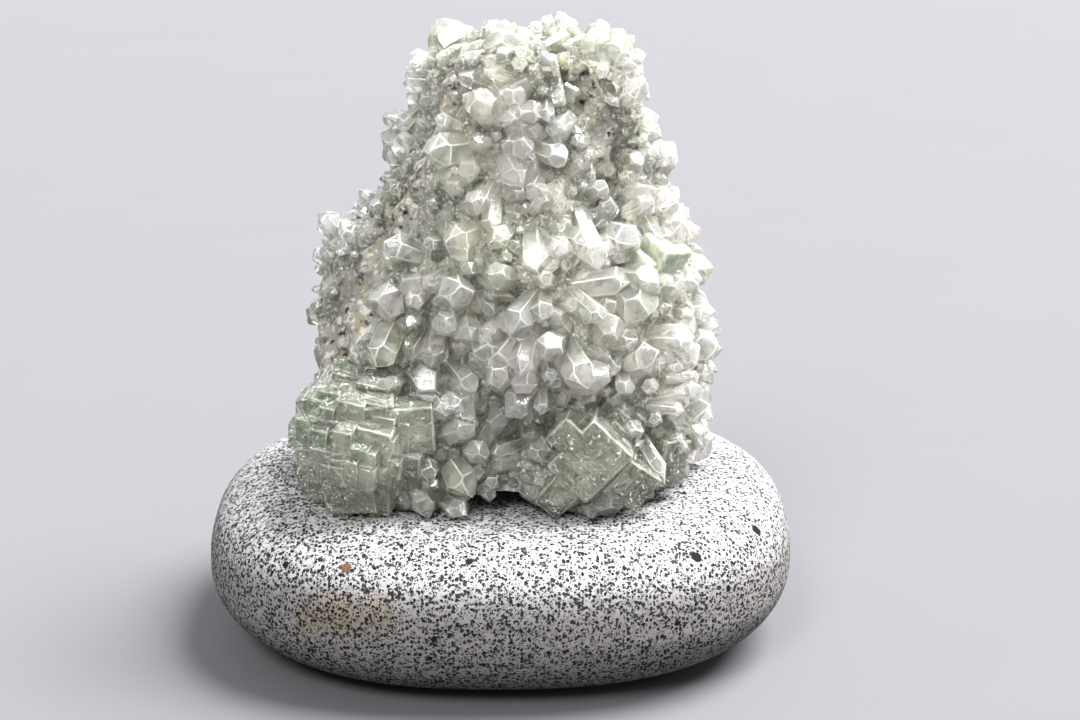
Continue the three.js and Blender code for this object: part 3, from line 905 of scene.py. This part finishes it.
# How strongly light bends, and how far each of its colours spreads inside
QUARTZ_IOR = 1.54
QUARTZ_SPREAD = (1.0, 1.0, 0.95)
FLUORITE_IOR = 1.43
FLUORITE_SPREAD = (0.9, 1.0, 0.85)


class Nodes:
    """A node tree under construction, with short calls for its nodes and links."""

    def __init__(self, tree):
        self.tree = tree

    def add(self, kind, **settings):
        node = self.tree.nodes.new(kind)
        for key, value in settings.items():
            setattr(node, key, value)
        return node

    def feed(self, socket, value):
        """Links a socket to another, or gives it a value of its own, a colour as its three shares."""
        if isinstance(value, bpy.types.NodeSocket):
            self.tree.links.new(value, socket)
        elif socket.type == "RGBA":
            socket.default_value = (*value, 1.0)
        else:
            socket.default_value = value

    def step(self, value, low, high, into=(0.0, 1.0)):
        """Runs from the first to the second of into as the value goes from low to high."""
        node = self.add("ShaderNodeMapRange", interpolation_type="SMOOTHSTEP")
        names = ("Value", "From Min", "From Max", "To Min", "To Max")
        for name, given in zip(names, (value, low, high, *into)):
            self.feed(node.inputs[name], given)
        return node.outputs[0]

    def vector_math(self, kind, *values):
        node = self.add("ShaderNodeVectorMath", operation=kind)
        for socket, value in zip(node.inputs, values):
            self.feed(socket, value)
        return node.outputs


class Finish(Nodes):
    """A material under construction. Its patterns lie in the object's own space, with sizes in metres."""

    def __init__(self, name):
        self.material = bpy.data.materials.new(name)
        self.material.use_nodes = True
        super().__init__(self.material.node_tree)
        self.tree.nodes.clear()
        self.shader = self.add("ShaderNodeBsdfPrincipled")
        self.feed(self.add("ShaderNodeOutputMaterial").inputs["Surface"], self.shader.outputs[0])
        self.place = self.add("ShaderNodeTexCoord").outputs["Object"]

    def set(self, **values):
        for key, value in values.items():
            self.feed(self.shader.inputs[key.replace("_", " ")], value)

    def crystal(self, colour, roughness, refraction, clearness, depth, spread):
        self.set(
            Base_Color=colour,
            Roughness=roughness,
            IOR=refraction,
            Transmission_Weight=clearness,
            Subsurface_Weight=1.0,
            Subsurface_Radius=spread,
            Subsurface_Scale=depth,
        )

    def noise(self, size, detail=2.0, roughness=0.5, warp=0.0, output="Fac"):
        """Values about 0.5 that change over about one size."""
        node = self.add("ShaderNodeTexNoise")
        self.feed(node.inputs["Vector"], self.place)
        node.inputs["Scale"].default_value = 1 / size
        node.inputs["Detail"].default_value = detail
        node.inputs["Roughness"].default_value = roughness
        node.inputs["Distortion"].default_value = warp
        return node.outputs[output]

    def cells(self, size, place, metric="EUCLIDEAN"):
        """The distance to the middle of each cell, and three random values for each cell."""
        node = self.add("ShaderNodeTexVoronoi", distance=metric)
        self.feed(node.inputs["Vector"], place)
        node.inputs["Scale"].default_value = 1 / size
        chances = self.add("ShaderNodeSeparateColor")
        self.feed(chances.inputs[0], node.outputs["Color"])
        return node.outputs["Distance"], chances.outputs

    def dots(self, size, place, channel, low, reach):
        """1 inside one dot in each cell, whose size follows a random value of the cell, and 0 outside."""
        distance, chances = self.cells(size, place)
        beyond = self.math("SUBTRACT", distance, self.step(chances[channel], low, 1.0, reach))
        return self.math("LESS_THAN", beyond, 0.0), chances

    def attribute(self, name):
        return self.add("ShaderNodeAttribute", attribute_name=name).outputs["Fac"]

    def math(self, kind, *values):
        node = self.add("ShaderNodeMath", operation=kind)
        for socket, value in zip(node.inputs, values):
            self.feed(socket, value)
        return node.outputs[0]

    def mix(self, share, first, second, kind="MIX"):
        node = self.add("ShaderNodeMix", data_type="RGBA", blend_type=kind)
        for number, value in ((0, share), (6, first), (7, second)):
            self.feed(node.inputs[number], value)
        return node.outputs[2]

    def moved_place(self, size, amount):
        """The place, moved about by a noise, so that patterns on it have ragged edges."""
        away = self.noise(size, output="Color")
        return self.vector_math("MULTIPLY_ADD", away, (amount,) * 3, self.place)[0]

    def bump(self, height, distance, strength):
        node = self.add("ShaderNodeBump")
        node.inputs["Strength"].default_value = strength
        node.inputs["Distance"].default_value = distance
        self.feed(node.inputs["Height"], height)
        self.set(Normal=node.outputs[0])


def scaled(values, share):
    return [value * share for value in values]


def granite_finish(facts):
    """White granite with black specks in two sizes and rare blots, a tan stain and a few larger spots; its
    ground is painted darker on the side than on the top, as shade.
    """
    f = Finish("granite")
    size = facts.speck_size
    ragged = f.moved_place(size * 0.8, size * 0.8)
    large, chances = f.dots(size, ragged, 0, 0.0, (0.16, 0.58))
    small, _ = f.dots(size * 0.55, ragged, 1, 0.2, (0.0, 0.6))
    blots, _ = f.dots(size * 8, ragged, 1, 0.3, (0.0, 0.13))
    height = f.add("ShaderNodeSeparateXYZ")
    f.feed(height.inputs[0], f.place)
    # Painted shade: the ground of the side, under the top's edge, is darker than that of the top
    ground = f.mix(f.step(height.outputs[2], 0.013, 0.0195), facts.side, facts.ground)
    grey = f.step(f.noise(size * 1.6, 3), 0.42, 0.66)
    ground = f.mix(f.math("MULTIPLY", grey, 0.55), ground, facts.grain)
    speck = f.mix(chances[2], facts.speck, scaled(facts.speck, 3))
    colour = f.mix(f.math("MULTIPLY", small, 0.93), ground, speck)
    colour = f.mix(large, colour, speck)
    colour = f.mix(blots, colour, facts.speck)
    looks = {
        "black": (facts.speck, 0.8, "MIX"),
        "rust": (facts.rust, 0.8, "MIX"),
        "stain": (facts.stain, 0.2, "MULTIPLY"),
    }
    for *middle, reach, share, kind in PEBBLE_SPOTS:
        tint, core, blend = looks[kind]
        away = f.vector_math("DISTANCE", ragged, scaled(middle, MM))["Value"]
        spot = f.step(away, reach * MM, reach * MM * core, (0.0, share))
        colour = f.mix(spot, colour, tint, blend)
    f.set(Base_Color=colour, Roughness=0.8, Specular_IOR_Level=0.02)
    f.bump(f.noise(0.0005, 3), 0.00012, 0.5)
    return f.material


def rock_finish(facts):
    """Granular rock from grey to tan, with dark pits, and massive quartz where the crust covers it, whose
    dark olive patches are kept low on the front as painted shade.
    """
    f = Finish("rock")
    colour = f.mix(f.step(f.noise(0.0018, 4, 0.65), 0.42, 0.6), facts.grey, facts.tan)
    _, chances = f.cells(0.0007, f.place)
    colour = f.mix(f.step(chances[0], 0.55, 1.0, (0.0, 0.7)), colour, facts.pale)
    colour = f.mix(f.step(f.noise(0.0012, 4, 0.7), 0.53, 0.66), colour, facts.pit)
    patches = f.step(f.noise(0.0026, 3, 0.6, 0.8), 0.47, 0.6)
    # Painted shade: the olive patches show only low on the front and fade towards the top and the right
    massive = f.mix(f.math("MULTIPLY", patches, f.attribute("painted_shade_low_front")), facts.under, facts.olive)
    colour = f.mix(f.attribute("under"), colour, massive)
    f.set(Base_Color=colour, Roughness=0.95, Specular_IOR_Level=0.2)
    f.bump(f.noise(0.0006, 5, 0.75), 0.0007, 0.9)
    return f.material


def quartz_finish(facts, name, clearness):
    """Milky quartz: clear bright tips, duller and greener roots that are partly painted shade, veils and
    flaws, warmer on some points, and painted shade in the gaps between points.
    """
    f = Finish(name)
    colour = f.mix(f.attribute("tip"), facts.root, facts.tip)
    tints = (
        (f.step(f.attribute("tone"), 0.55, 1.0, (0.0, 0.8)), facts.warm),
        (f.math("MULTIPLY", f.attribute("green"), 0.9), facts.green),
        (f.step(f.noise(0.0022, 4, 0.6, 1.0), 0.35, 0.7, (0.0, 0.6)), facts.veil),
        (f.step(f.noise(0.0005, 4, 0.7, 0.6), 0.42, 0.66, (0.0, 0.75)), facts.veil),
    )
    for share, tint in tints:
        colour = f.mix(share, colour, tint, "MULTIPLY")
    # Painted shade: the gaps between points take the dark gap colour
    colour = f.mix(f.attribute("unshaded"), facts.gap_shade, colour)
    f.crystal(colour, facts.roughness, QUARTZ_IOR, clearness, facts.depth, QUARTZ_SPREAD)
    f.bump(f.math("ADD", f.noise(0.0009, 3), f.math("MULTIPLY", f.noise(0.00022, 2), 0.35)), 0.0001, 0.8)
    return f.material


def ground_finish(facts):
    """Massive quartz between the points: dull, finely granular, painted darker from grey to olive as shade in
    the gaps.
    """
    f = Finish("quartz_ground")
    # Painted shade: the ground and its darker patches stand for the shade in the gaps
    colour = f.mix(f.step(f.noise(0.0024, 4, 0.65, 0.8), 0.4, 0.62), facts.ground, facts.gap_shade)
    colour = f.mix(f.step(f.noise(0.0004, 3, 0.7), 0.5, 0.68, (0.0, 0.6)), colour, facts.tip)
    f.crystal(colour, 0.4, QUARTZ_IOR, 0.3, 0.001, QUARTZ_SPREAD)
    f.bump(f.noise(0.0005, 5, 0.75), 0.0004, 0.9)
    return f.material


def fluorite_finish(facts, name, colour, roughness, clearness, frost_and_glints):
    """Green fluorite: cloudy and pitted on its faces, with pale flecks that are partly frost and partly
    painted glints, painted shade in its hollows, and, in its edge finish, a paler tone along its edges that
    is painted highlight.
    """
    f = Finish(name)
    cloud = f.step(f.noise(0.0028, 4, 0.6, 1.5), 0.35, 0.68)
    pale = [(c + e) / 2 for c, e in zip(colour, facts.edge)]
    shade = f.mix(cloud, pale, scaled(colour, 0.5))
    # Partly painted glints: pale, nearly opaque flecks that stand for sparkles on the pits as well as frost
    rime_and_glint_specks = f.step(f.noise(0.00042, 4, 0.75, 0.5), 0.58, 0.64, (0.0, min(1.0, 1.6 * frost_and_glints)))
    shade = f.mix(rime_and_glint_specks, shade, facts.edge)
    shade = f.mix(f.step(f.attribute("tone"), 0.3, 1.0, (0.0, 0.35)), shade, facts.edge)
    # Painted shade: darker in the hollows between the blocks and the steps
    shade = f.mix(f.attribute("unshaded"), scaled(colour, 0.4), shade)
    clear = f.mix(rime_and_glint_specks, (clearness,) * 3, (0.1,) * 3)
    f.crystal(shade, roughness, FLUORITE_IOR, clear, facts.depth, FLUORITE_SPREAD)
    pits = f.math("ADD", f.noise(0.0008, 4, 0.65, 0.5), f.math("MULTIPLY", f.noise(0.0003, 3, 0.6), 0.5))
    hoppers, _ = f.cells(0.0011, f.moved_place(0.002, 0.0006), "CHEBYCHEV")
    f.bump(f.math("ADD", pits, hoppers), 0.0008 * frost_and_glints, 0.9)
    return f.material


def floor_finish(facts):
    f = Finish("floor")
    f.set(Base_Color=f.mix(f.noise(0.02, 3), facts.floor, scaled(facts.floor, 0.96)), Roughness=0.9)
    return f.material


# Settings


def Colour(name, description, *shares):
    return FloatVectorProperty(name=name, description=description, default=shares, subtype="COLOR")


def Length(name, description, metres):
    return FloatProperty(name=name, description=description, default=metres, unit="LENGTH")


def Share(name, description, value):
    return FloatProperty(name=name, description=description, default=value, subtype="FACTOR", min=0, max=1)


def Seed(name, description, value):
    return IntProperty(name=name, description=description, default=value)


def Strength(name, description, value):
    return FloatProperty(name=name, description=description, default=value)


class PebbleFacts(PropertyGroup):
    half_width: Length("Half width", "Half the pebble's width", PEBBLE_HIGH.x)
    half_depth: Length("Half depth", "Half the pebble's depth", PEBBLE_HIGH.y)
    height: Length("Height", "The pebble's height", PEBBLE_HIGH.z)
    speck_size: Length("Speck size", "Distance between the larger specks", 0.00046)
    ground: Colour("Ground", "Colour of the granite's ground", 0.245, 0.241, 0.241)
    # Painted shade: the same granite as the top, darker on the side where less light falls
    side: Colour("Side", "Colour of the ground on the side", 0.16, 0.1505, 0.1445)
    grain: Colour("Grain", "Colour of the grey grains", 0.08, 0.08, 0.082)
    rust: Colour("Rust", "Colour of the rusty spot", 0.07, 0.028, 0.011)
    stain: Colour("Stain", "Tint of the tan stain", 1.0, 0.86, 0.62)
    speck: Colour("Speck", "Colour of the black specks", 0.007, 0.007, 0.0075)


class RockFacts(PropertyGroup):
    grain: Length("Grain", "Height of the rock's lumps", 0.0006)
    grey: Colour("Grey", "Colour of the grey rock", 0.22, 0.215, 0.195)
    tan: Colour("Tan", "Colour of the tan patches", 0.235, 0.208, 0.15)
    pale: Colour("Pale", "Colour of the pale grains", 0.50, 0.49, 0.46)
    pit: Colour("Pit", "Colour of the dark pits", 0.016, 0.014, 0.01)
    # Painted shade: the dark olive patches are kept low on the front, where shade falls
    olive: Colour("Olive", "Colour of the dark patches under the crust", 0.34, 0.35, 0.27)
    under: Colour("Under", "Colour of the massive quartz under the crust", 0.78, 0.75, 0.69)


class QuartzFacts(PropertyGroup):
    rounding: Length("Rounding", "Rounding of the larger points' edges", 0.00013)
    seed: Seed("Seed", "Start of the random numbers for the small points", 11)
    tip: Colour("Tip", "Colour at the tips", 0.995, 0.985, 0.975)
    # Partly painted shade: the roots are duller as quartz is at its base, and darker as if shaded between the
    # points
    root: Colour("Root", "Colour at the roots", 0.86, 0.87, 0.80)
    warm: Colour("Warm", "Tint of the warmest points", 1.0, 0.965, 0.945)
    # The green tint is also laid near the roots and low under the overhang as painted shade
    green: Colour("Green", "Tint of the green zones", 0.86, 0.92, 0.76)
    veil: Colour("Veil", "Tint of the veils inside", 0.88, 0.865, 0.835)
    # Painted shade: the ground between points is darker than the massive quartz under the crust
    ground: Colour("Ground", "Colour of the ground between points", 0.30, 0.295, 0.24)
    # Painted shade in the gaps between points, also used for dark patches of the ground between them
    gap_shade: Colour("Recess", "Colour in the gaps between points", 0.10, 0.10, 0.07)
    roughness: Share("Roughness", "Roughness of the faces", 0.07)
    clearness: Share("Clearness", "Share of clear crystal", 0.9)
    depth: Length("Depth", "How deep light spreads inside", 0.003)


class FluoriteFacts(PropertyGroup):
    # Painted highlight: the rounded edges take the paler edge finish
    rounding: Length("Rounding", "Width of the bright edges", 0.00024)
    seed: Seed("Seed", "Start of the random numbers for the growth steps", 5)
    colour: Colour("Colour", "Colour of the green blocks", 0.66, 0.72, 0.55)
    olive: Colour("Olive", "Colour of the right block", 0.49, 0.525, 0.37)
    upper: Colour("Upper", "Colour of the upper block", 0.44, 0.49, 0.30)
    # Painted highlight: this pale colour brightens the rounded edges and the painted glint flecks; it also
    # pales some blocks at random
    edge: Colour("Edge", "Colour of the pale edges", 0.85, 0.885, 0.79)
    depth: Length("Depth", "How deep light spreads inside", 0.0015)


class StageFacts(PropertyGroup):
    floor: Colour("Floor", "Colour of the floor", 0.062, 0.0607, 0.0655)
    sky: Colour("Sky", "Colour of the light from all round", 0.93, 0.95, 1.0)
    sky_strength: Strength("Sky strength", "Light from all round", 1.0)
    key_strength: Strength("Key strength", "Light from the upper right back", 21.0)
    fill_strength: Strength("Fill strength", "Light from the upper left front", 4.6)
    key_softness: FloatProperty(
        name="Key softness", description="Width of the key light", default=np.radians(38), subtype="ANGLE"
    )


# Pieces


class ClusterPebble(Operator):
    """Builds the water-worn granite pebble."""

    bl_idname = "cluster.pebble"
    bl_label = "Pebble"

    def execute(self, context):
        facts = context.scene.cluster_pebble
        piece = new_object("pebble_stone", make_mesh("pebble_stone", *pebble_surface(facts)))
        share_edges(piece.data, 60)
        piece.data.materials.append(granite_finish(facts))
        hand_over(piece, "granite", "pebble")
        return {"FINISHED"}


def pebble_surface(facts, sides=240, rings=120):
    """The pebble: a superellipse in plan, flat above and below, its edge tighter above than below.

    The turn runs from straight down to straight up. The plan shrinks to its flat share by the cosine of the
    turn, and the height follows its sine, both to a power. A low wave takes the skin in by up to 0.3 mm.
    """
    turn = np.linspace(-np.pi / 2, np.pi / 2, rings)[:, None]
    angle = np.linspace(0, 2 * np.pi, sides, endpoint=False)[None]
    power = 2 / np.where(turn > 0, PEBBLE_UPPER, PEBBLE_LOWER)
    reach = PEBBLE_FLAT + (1 - PEBBLE_FLAT) * np.cos(turn).clip(0) ** power
    round_x = np.sign(np.cos(angle)) * np.abs(np.cos(angle)) ** (2 / PEBBLE_SQUARENESS)
    round_y = np.sign(np.sin(angle)) * np.abs(np.sin(angle)) ** (2 / PEBBLE_SQUARENESS)
    lift = (1 + np.sign(turn) * np.abs(np.sin(turn)) ** power) / 2
    points = np.stack(
        [
            facts.half_width * reach * round_x,
            facts.half_depth * reach * round_y,
            facts.height * lift + 0 * angle,
        ],
        -1,
    )
    points = points / MM
    inward = 1 - 0.004 * (1 + noise(points, 14, 3))
    points[..., :2] *= inward[..., None]
    low, high = np.zeros(3), np.array([0, 0, facts.height / MM])
    inner = np.linspace(0.12, 1, 8, endpoint=False)[:, None, None]
    bottom = low + (points[0] - low) * inner
    top = high + (points[-1] - high) * inner[::-1]
    return ringed_surface(np.concatenate([bottom, points, top]), low, high)


class ClusterRock(Operator):
    """Builds the host rock that shows between the crystals and at the back."""

    bl_idname = "cluster.rock"
    bl_label = "Host rock"

    def execute(self, context):
        facts = context.scene.cluster_rock
        lump = facts.grain / MM

        def rise(bearing, height, points):
            coarse = noise(points, 3.1, 1) * 0.8 + noise(points, 1.3, 2) * 0.7 + noise(points, 0.6, 4) * 0.35
            pits = smooth(noise(points, 2.2, 6), 0.35, 0.75)
            return lump * (coarse - 0.2) - 0.9 * pits

        skin = skin_surface(rise, sides=300, rings=170, cap_rings=30)
        piece = new_object("host_rock_skin", make_mesh("host_rock_skin", *skin))
        points = points_of(piece.data)
        margin = cover_margin(bearing_of(points), points[:, 2] - SEAT)
        set_values(piece.data, "under", smooth(margin, 0.2, 1.8))
        # Painted shade: a mask for the darker ground low on the front
        set_values(piece.data, "painted_shade_low_front", painted_shade_low_front(points))
        share_edges(piece.data, 50)
        piece.data.materials.append(rock_finish(facts))
        hand_over(piece, "rock", "host_rock")
        return {"FINISHED"}


def crust_rise(bearing, height, points):
    """The crust's thickness with a fine relief, falling off ragged edges into the rock where that is bare."""
    ragged = cover_margin(bearing, height) - 1.2 + 0.9 * noise(points, 1.6, 8)
    thick = CRUST_THICKNESS - 0.7 + 0.55 * noise(points, 1.7, 9) + 0.3 * noise(points, 0.8, 10)
    return -BARE_SINK + (thick + BARE_SINK) * smooth(ragged, -0.2, 1.2)


class ClusterQuartz(Operator):
    """Builds the crust of quartz points."""

    bl_idname = "cluster.quartz"
    bl_label = "Quartz crust"

    def execute(self, context):
        facts = context.scene.cluster_quartz
        rng = np.random.default_rng(facts.seed)
        marked = marked_crystals()
        large = merged(marked, strewn_crystals(marked))
        middle = scattered_crystals(large, rng, **MIDDLE_POINTS)
        near = merged(large, middle)
        fine = scattered_crystals(near, rng, **FINE_POINTS)
        twins = [siblings(large, rng, **TWINS) for _ in range(2)]
        rounding = facts.rounding / MM
        crust = skin_surface(crust_rise, sides=130, rings=74, cap_rings=14)
        piece = new_object("quartz_points", make_mesh("quartz_points", *crust))
        set_values(piece.data, "tone", np.full(len(piece.data.polygons), 0.2), "FACE")
        for _ in range(GROUND + 1):
            piece.data.materials.append(None)
        piece.data.polygons.foreach_set("material_index", np.full(len(piece.data.polygons), GROUND))
        helpers = []
        layers = (
            (large, rounding),
            (merged(*twins), rounding * 0.8),
            (middle, rounding * 0.7),
            (fine, 0.0),
        )
        for crystals, chamfer in layers:
            corners = point_corners(lowered_near_rock(crystals), rng)
            lift = np.maximum(0, SEAT + FOOT_CLEARANCE - corners[..., 2].min(1))
            corners[..., 2] += lift[:, None]
            corners = corners[(lift < MOST_LIFT) & (corners[..., 2].max(1) < TOP)]
            add_bodies(piece, corners, POINT_FACES, rng.random(len(corners)), helpers, chamfer)
        blocks = block_corners(ALL_BLOCKS, HAIR)
        add_bodies(piece, blocks, BOX_FACES, np.full(len(blocks), 0.5), helpers, kind="DIFFERENCE")
        mesh = settle(piece, helpers)
        paint_quartz(mesh)
        share_edges(mesh, 33)
        keep_faces_flat(piece)
        body = quartz_finish(facts, "quartz", facts.clearness)
        # Painted highlight: the rounded edges take a less clear, milkier finish, so that they read as bright
        # rims
        edge = quartz_finish(facts, "quartz_edge_highlight", facts.clearness * 0.78)
        set_finishes(mesh, body, edge, ground_finish(facts))
        hand_over(piece, "quartz", "quartz_crust")
        return {"FINISHED"}


def paint_quartz(mesh):
    """Values for the finish: how near the tips a point lies, how green its place is, and how open it lies.
    All three also carry painted shade: darker roots, greener and darker near the roots and low under the
    overhang, and dark gaps.
    """
    points = points_of(mesh)
    rise = rise_over_rock(points)
    # The roots' colour is partly painted shade
    set_values(mesh, "tip", smooth(rise, 1.5, 4.0))
    height = points[:, 2] - SEAT
    front = smooth(-points[:, 1], -6, 2)
    green = np.zeros(len(points))
    for across, up, reach, strength in GREEN_PLACES:
        away = np.hypot(points[:, 0] - across, height - up)
        green = np.maximum(green, strength * bump(away, reach))
    # Painted shade: the green tint also darkens the points near their roots, where they stand in the gaps
    deep = 0.55 * (1 - smooth(rise, 1.2, 3.6))
    set_values(mesh, "green", np.maximum(green * front, deep))
    above = rise - local_mean(points, rise, 3.2)
    # Painted shade: 0 in the gaps and hollows, where the finish puts the dark gap colour
    set_values(mesh, "unshaded", smooth(above, -1.3, 0.4) * (1 - 0.8 * smooth(hollowness(mesh), -0.05, 0.35)))


class ClusterFluorite(Operator):
    """Builds the four groups of fluorite blocks."""

    bl_idname = "cluster.fluorite"
    bl_label = "Fluorite"

    def execute(self, context):
        facts = context.scene.cluster_fluorite
        rng = np.random.default_rng(facts.seed)
        green = fluorite_finish(facts, "fluorite_green", facts.colour, 0.06, 0.9, 0.6)
        olive = fluorite_finish(facts, "fluorite_olive", facts.olive, 0.06, 0.9, 0.6)
        # Painted highlight: the finish of the rounded edges, paler than the blocks
        clear = fluorite_finish(facts, "fluorite_edge_highlight", facts.edge, 0.05, 0.8, 0.1)
        upper = fluorite_finish(facts, "fluorite_upper", facts.upper, 0.25, 0.5, 0.15)
        groups = (
            ("fluorite_left", LEFT_BLOCKS, (70, (0.008, 0.075), 0.34), LEFT_SLOPES, green),
            ("fluorite_right", RIGHT_BLOCKS, (50, (0.006, 0.045), 0.5), RIGHT_SLOPES, olive),
            ("fluorite_side", SIDE_BLOCKS, (40, (0.006, 0.05), 0.5), [], olive),
            ("fluorite_upper", UPPER_BLOCKS, (12, (0.004, 0.02), 0.5), [], upper),
        )
        for node, blocks, growth, slopes, finish in groups:
            edge = upper if finish == upper else clear
            build_fluorite(node, blocks, growth, slopes, finish, edge, facts, rng)
        return {"FINISHED"}


def build_fluorite(node, blocks, growth, slopes, finish, clear, facts, rng):
    """One group: its first block is the base, and the other blocks and the growth steps are joined to it."""
    plates = growth_steps(blocks, rng, *growth)
    layers = [(blocks, facts.rounding / MM), (plates, 0.0)]
    layers += [(stepped_slope(slope, blocks[0], rng), slope[-1]) for slope in slopes]
    name = f"{node}_blocks"
    core = block_corners(blocks[:1], -0.5)
    piece = new_object(name, many_bodies(name, core, BOX_FACES, np.zeros(1)))
    helpers = []
    for rows, rounding in layers:
        corners = block_corners(rows)
        corners[..., 2] = np.maximum(corners[..., 2], SEAT + HAIR)
        add_bodies(piece, corners, BOX_FACES, rng.random(len(rows)), helpers, rounding)
    mesh = settle(piece, helpers)
    # Painted shade: a mask that is 0 in the hollows, where the finish goes darker
    set_values(mesh, "unshaded", 1 - smooth(hollowness(mesh), -0.05, 0.4))
    share_edges(mesh, 48)
    keep_faces_flat(piece)
    set_finishes(mesh, finish, clear)
    hand_over(piece, "fluorite", node)


class ClusterStage(Operator):
    """Builds the pale floor, the soft light and the camera."""

    bl_idname = "cluster.stage"
    bl_label = "Stage"

    def execute(self, context):
        facts = context.scene.cluster_stage
        corners = FLOOR_REACH * np.array([[-1, -1, 0], [1, -1, 0], [1, 1, 0], [-1, 1, 0]])
        floor = new_object("floor", make_mesh("floor", corners, [np.array([[0, 1, 2, 3]])]))
        floor.data.materials.append(floor_finish(facts))
        scene = context.scene
        scene.view_settings.view_transform = "Standard"
        scene.world = bpy.data.worlds.new("soft light")
        scene.world.use_nodes = True
        world = Nodes(scene.world.node_tree)
        sky = world.tree.nodes["Background"]
        way = world.add("ShaderNodeTexCoord").outputs["Generated"]
        toward = world.vector_math("DOT_PRODUCT", way, BRIGHT_SKY)["Value"]
        dim, bright = facts.sky_strength * 0.3, facts.sky_strength * 1.9
        world.feed(sky.inputs["Color"], facts.sky)
        world.feed(sky.inputs["Strength"], world.step(toward, -0.2, 0.9, (dim, bright)))
        add_sun("key", facts.key_strength, facts.key_softness, (-6, 29))
        add_sun("fill", facts.fill_strength, np.radians(20), (38, -22))
        camera = bpy.data.cameras.new("camera")
        camera.lens = CAMERA["lens"]
        camera.sensor_width = CAMERA["sensor"]
        scene.camera = new_object("camera", camera)
        scene.camera.location = CAMERA["at"]
        scene.camera.rotation_euler = (np.radians(90 - CAMERA["elevation"]), 0, 0)
        return {"FINISHED"}


def add_sun(name, strength, softness, turn):
    """A sun whose light comes from straight up, then turned about X and Y, in degrees."""
    light = bpy.data.lights.new(name, "SUN")
    light.energy = strength
    light.angle = softness
    new_object(name, light).rotation_euler = (*np.radians(turn), 0)


class ClusterPanel(Panel):
    """Lists the parts with their settings."""

    bl_idname = "VIEW3D_PT_cluster"
    bl_label = "Fluorite cluster"
    bl_space_type = "VIEW_3D"
    bl_region_type = "UI"
    bl_category = "Cluster"

    def draw(self, context):
        """The settings of each part over the button that builds it."""
        for name, _, operator in PARTS:
            box = self.layout.box()
            box.label(text=operator.bl_label)
            facts = getattr(context.scene, name)
            for setting in facts.__annotations__:
                box.prop(facts, setting)
            box.operator(operator.bl_idname)


PARTS = (
    ("cluster_pebble", PebbleFacts, ClusterPebble),
    ("cluster_rock", RockFacts, ClusterRock),
    ("cluster_quartz", QuartzFacts, ClusterQuartz),
    ("cluster_fluorite", FluoriteFacts, ClusterFluorite),
    ("cluster_stage", StageFacts, ClusterStage),
)


def register():
    for name, facts, operator in PARTS:
        bpy.utils.register_class(facts)
        bpy.utils.register_class(operator)
        setattr(bpy.types.Scene, name, PointerProperty(type=facts))
    bpy.utils.register_class(ClusterPanel)


def unregister():
    bpy.utils.unregister_class(ClusterPanel)
    for name, facts, operator in reversed(PARTS):
        delattr(bpy.types.Scene, name)
        bpy.utils.unregister_class(operator)
        bpy.utils.unregister_class(facts)


def main():
    register()
    bpy.ops.cluster.pebble()
    bpy.ops.cluster.rock()
    bpy.ops.cluster.quartz()
    bpy.ops.cluster.fluorite()
    bpy.ops.cluster.stage()


if __name__ == "__main__":
    main()
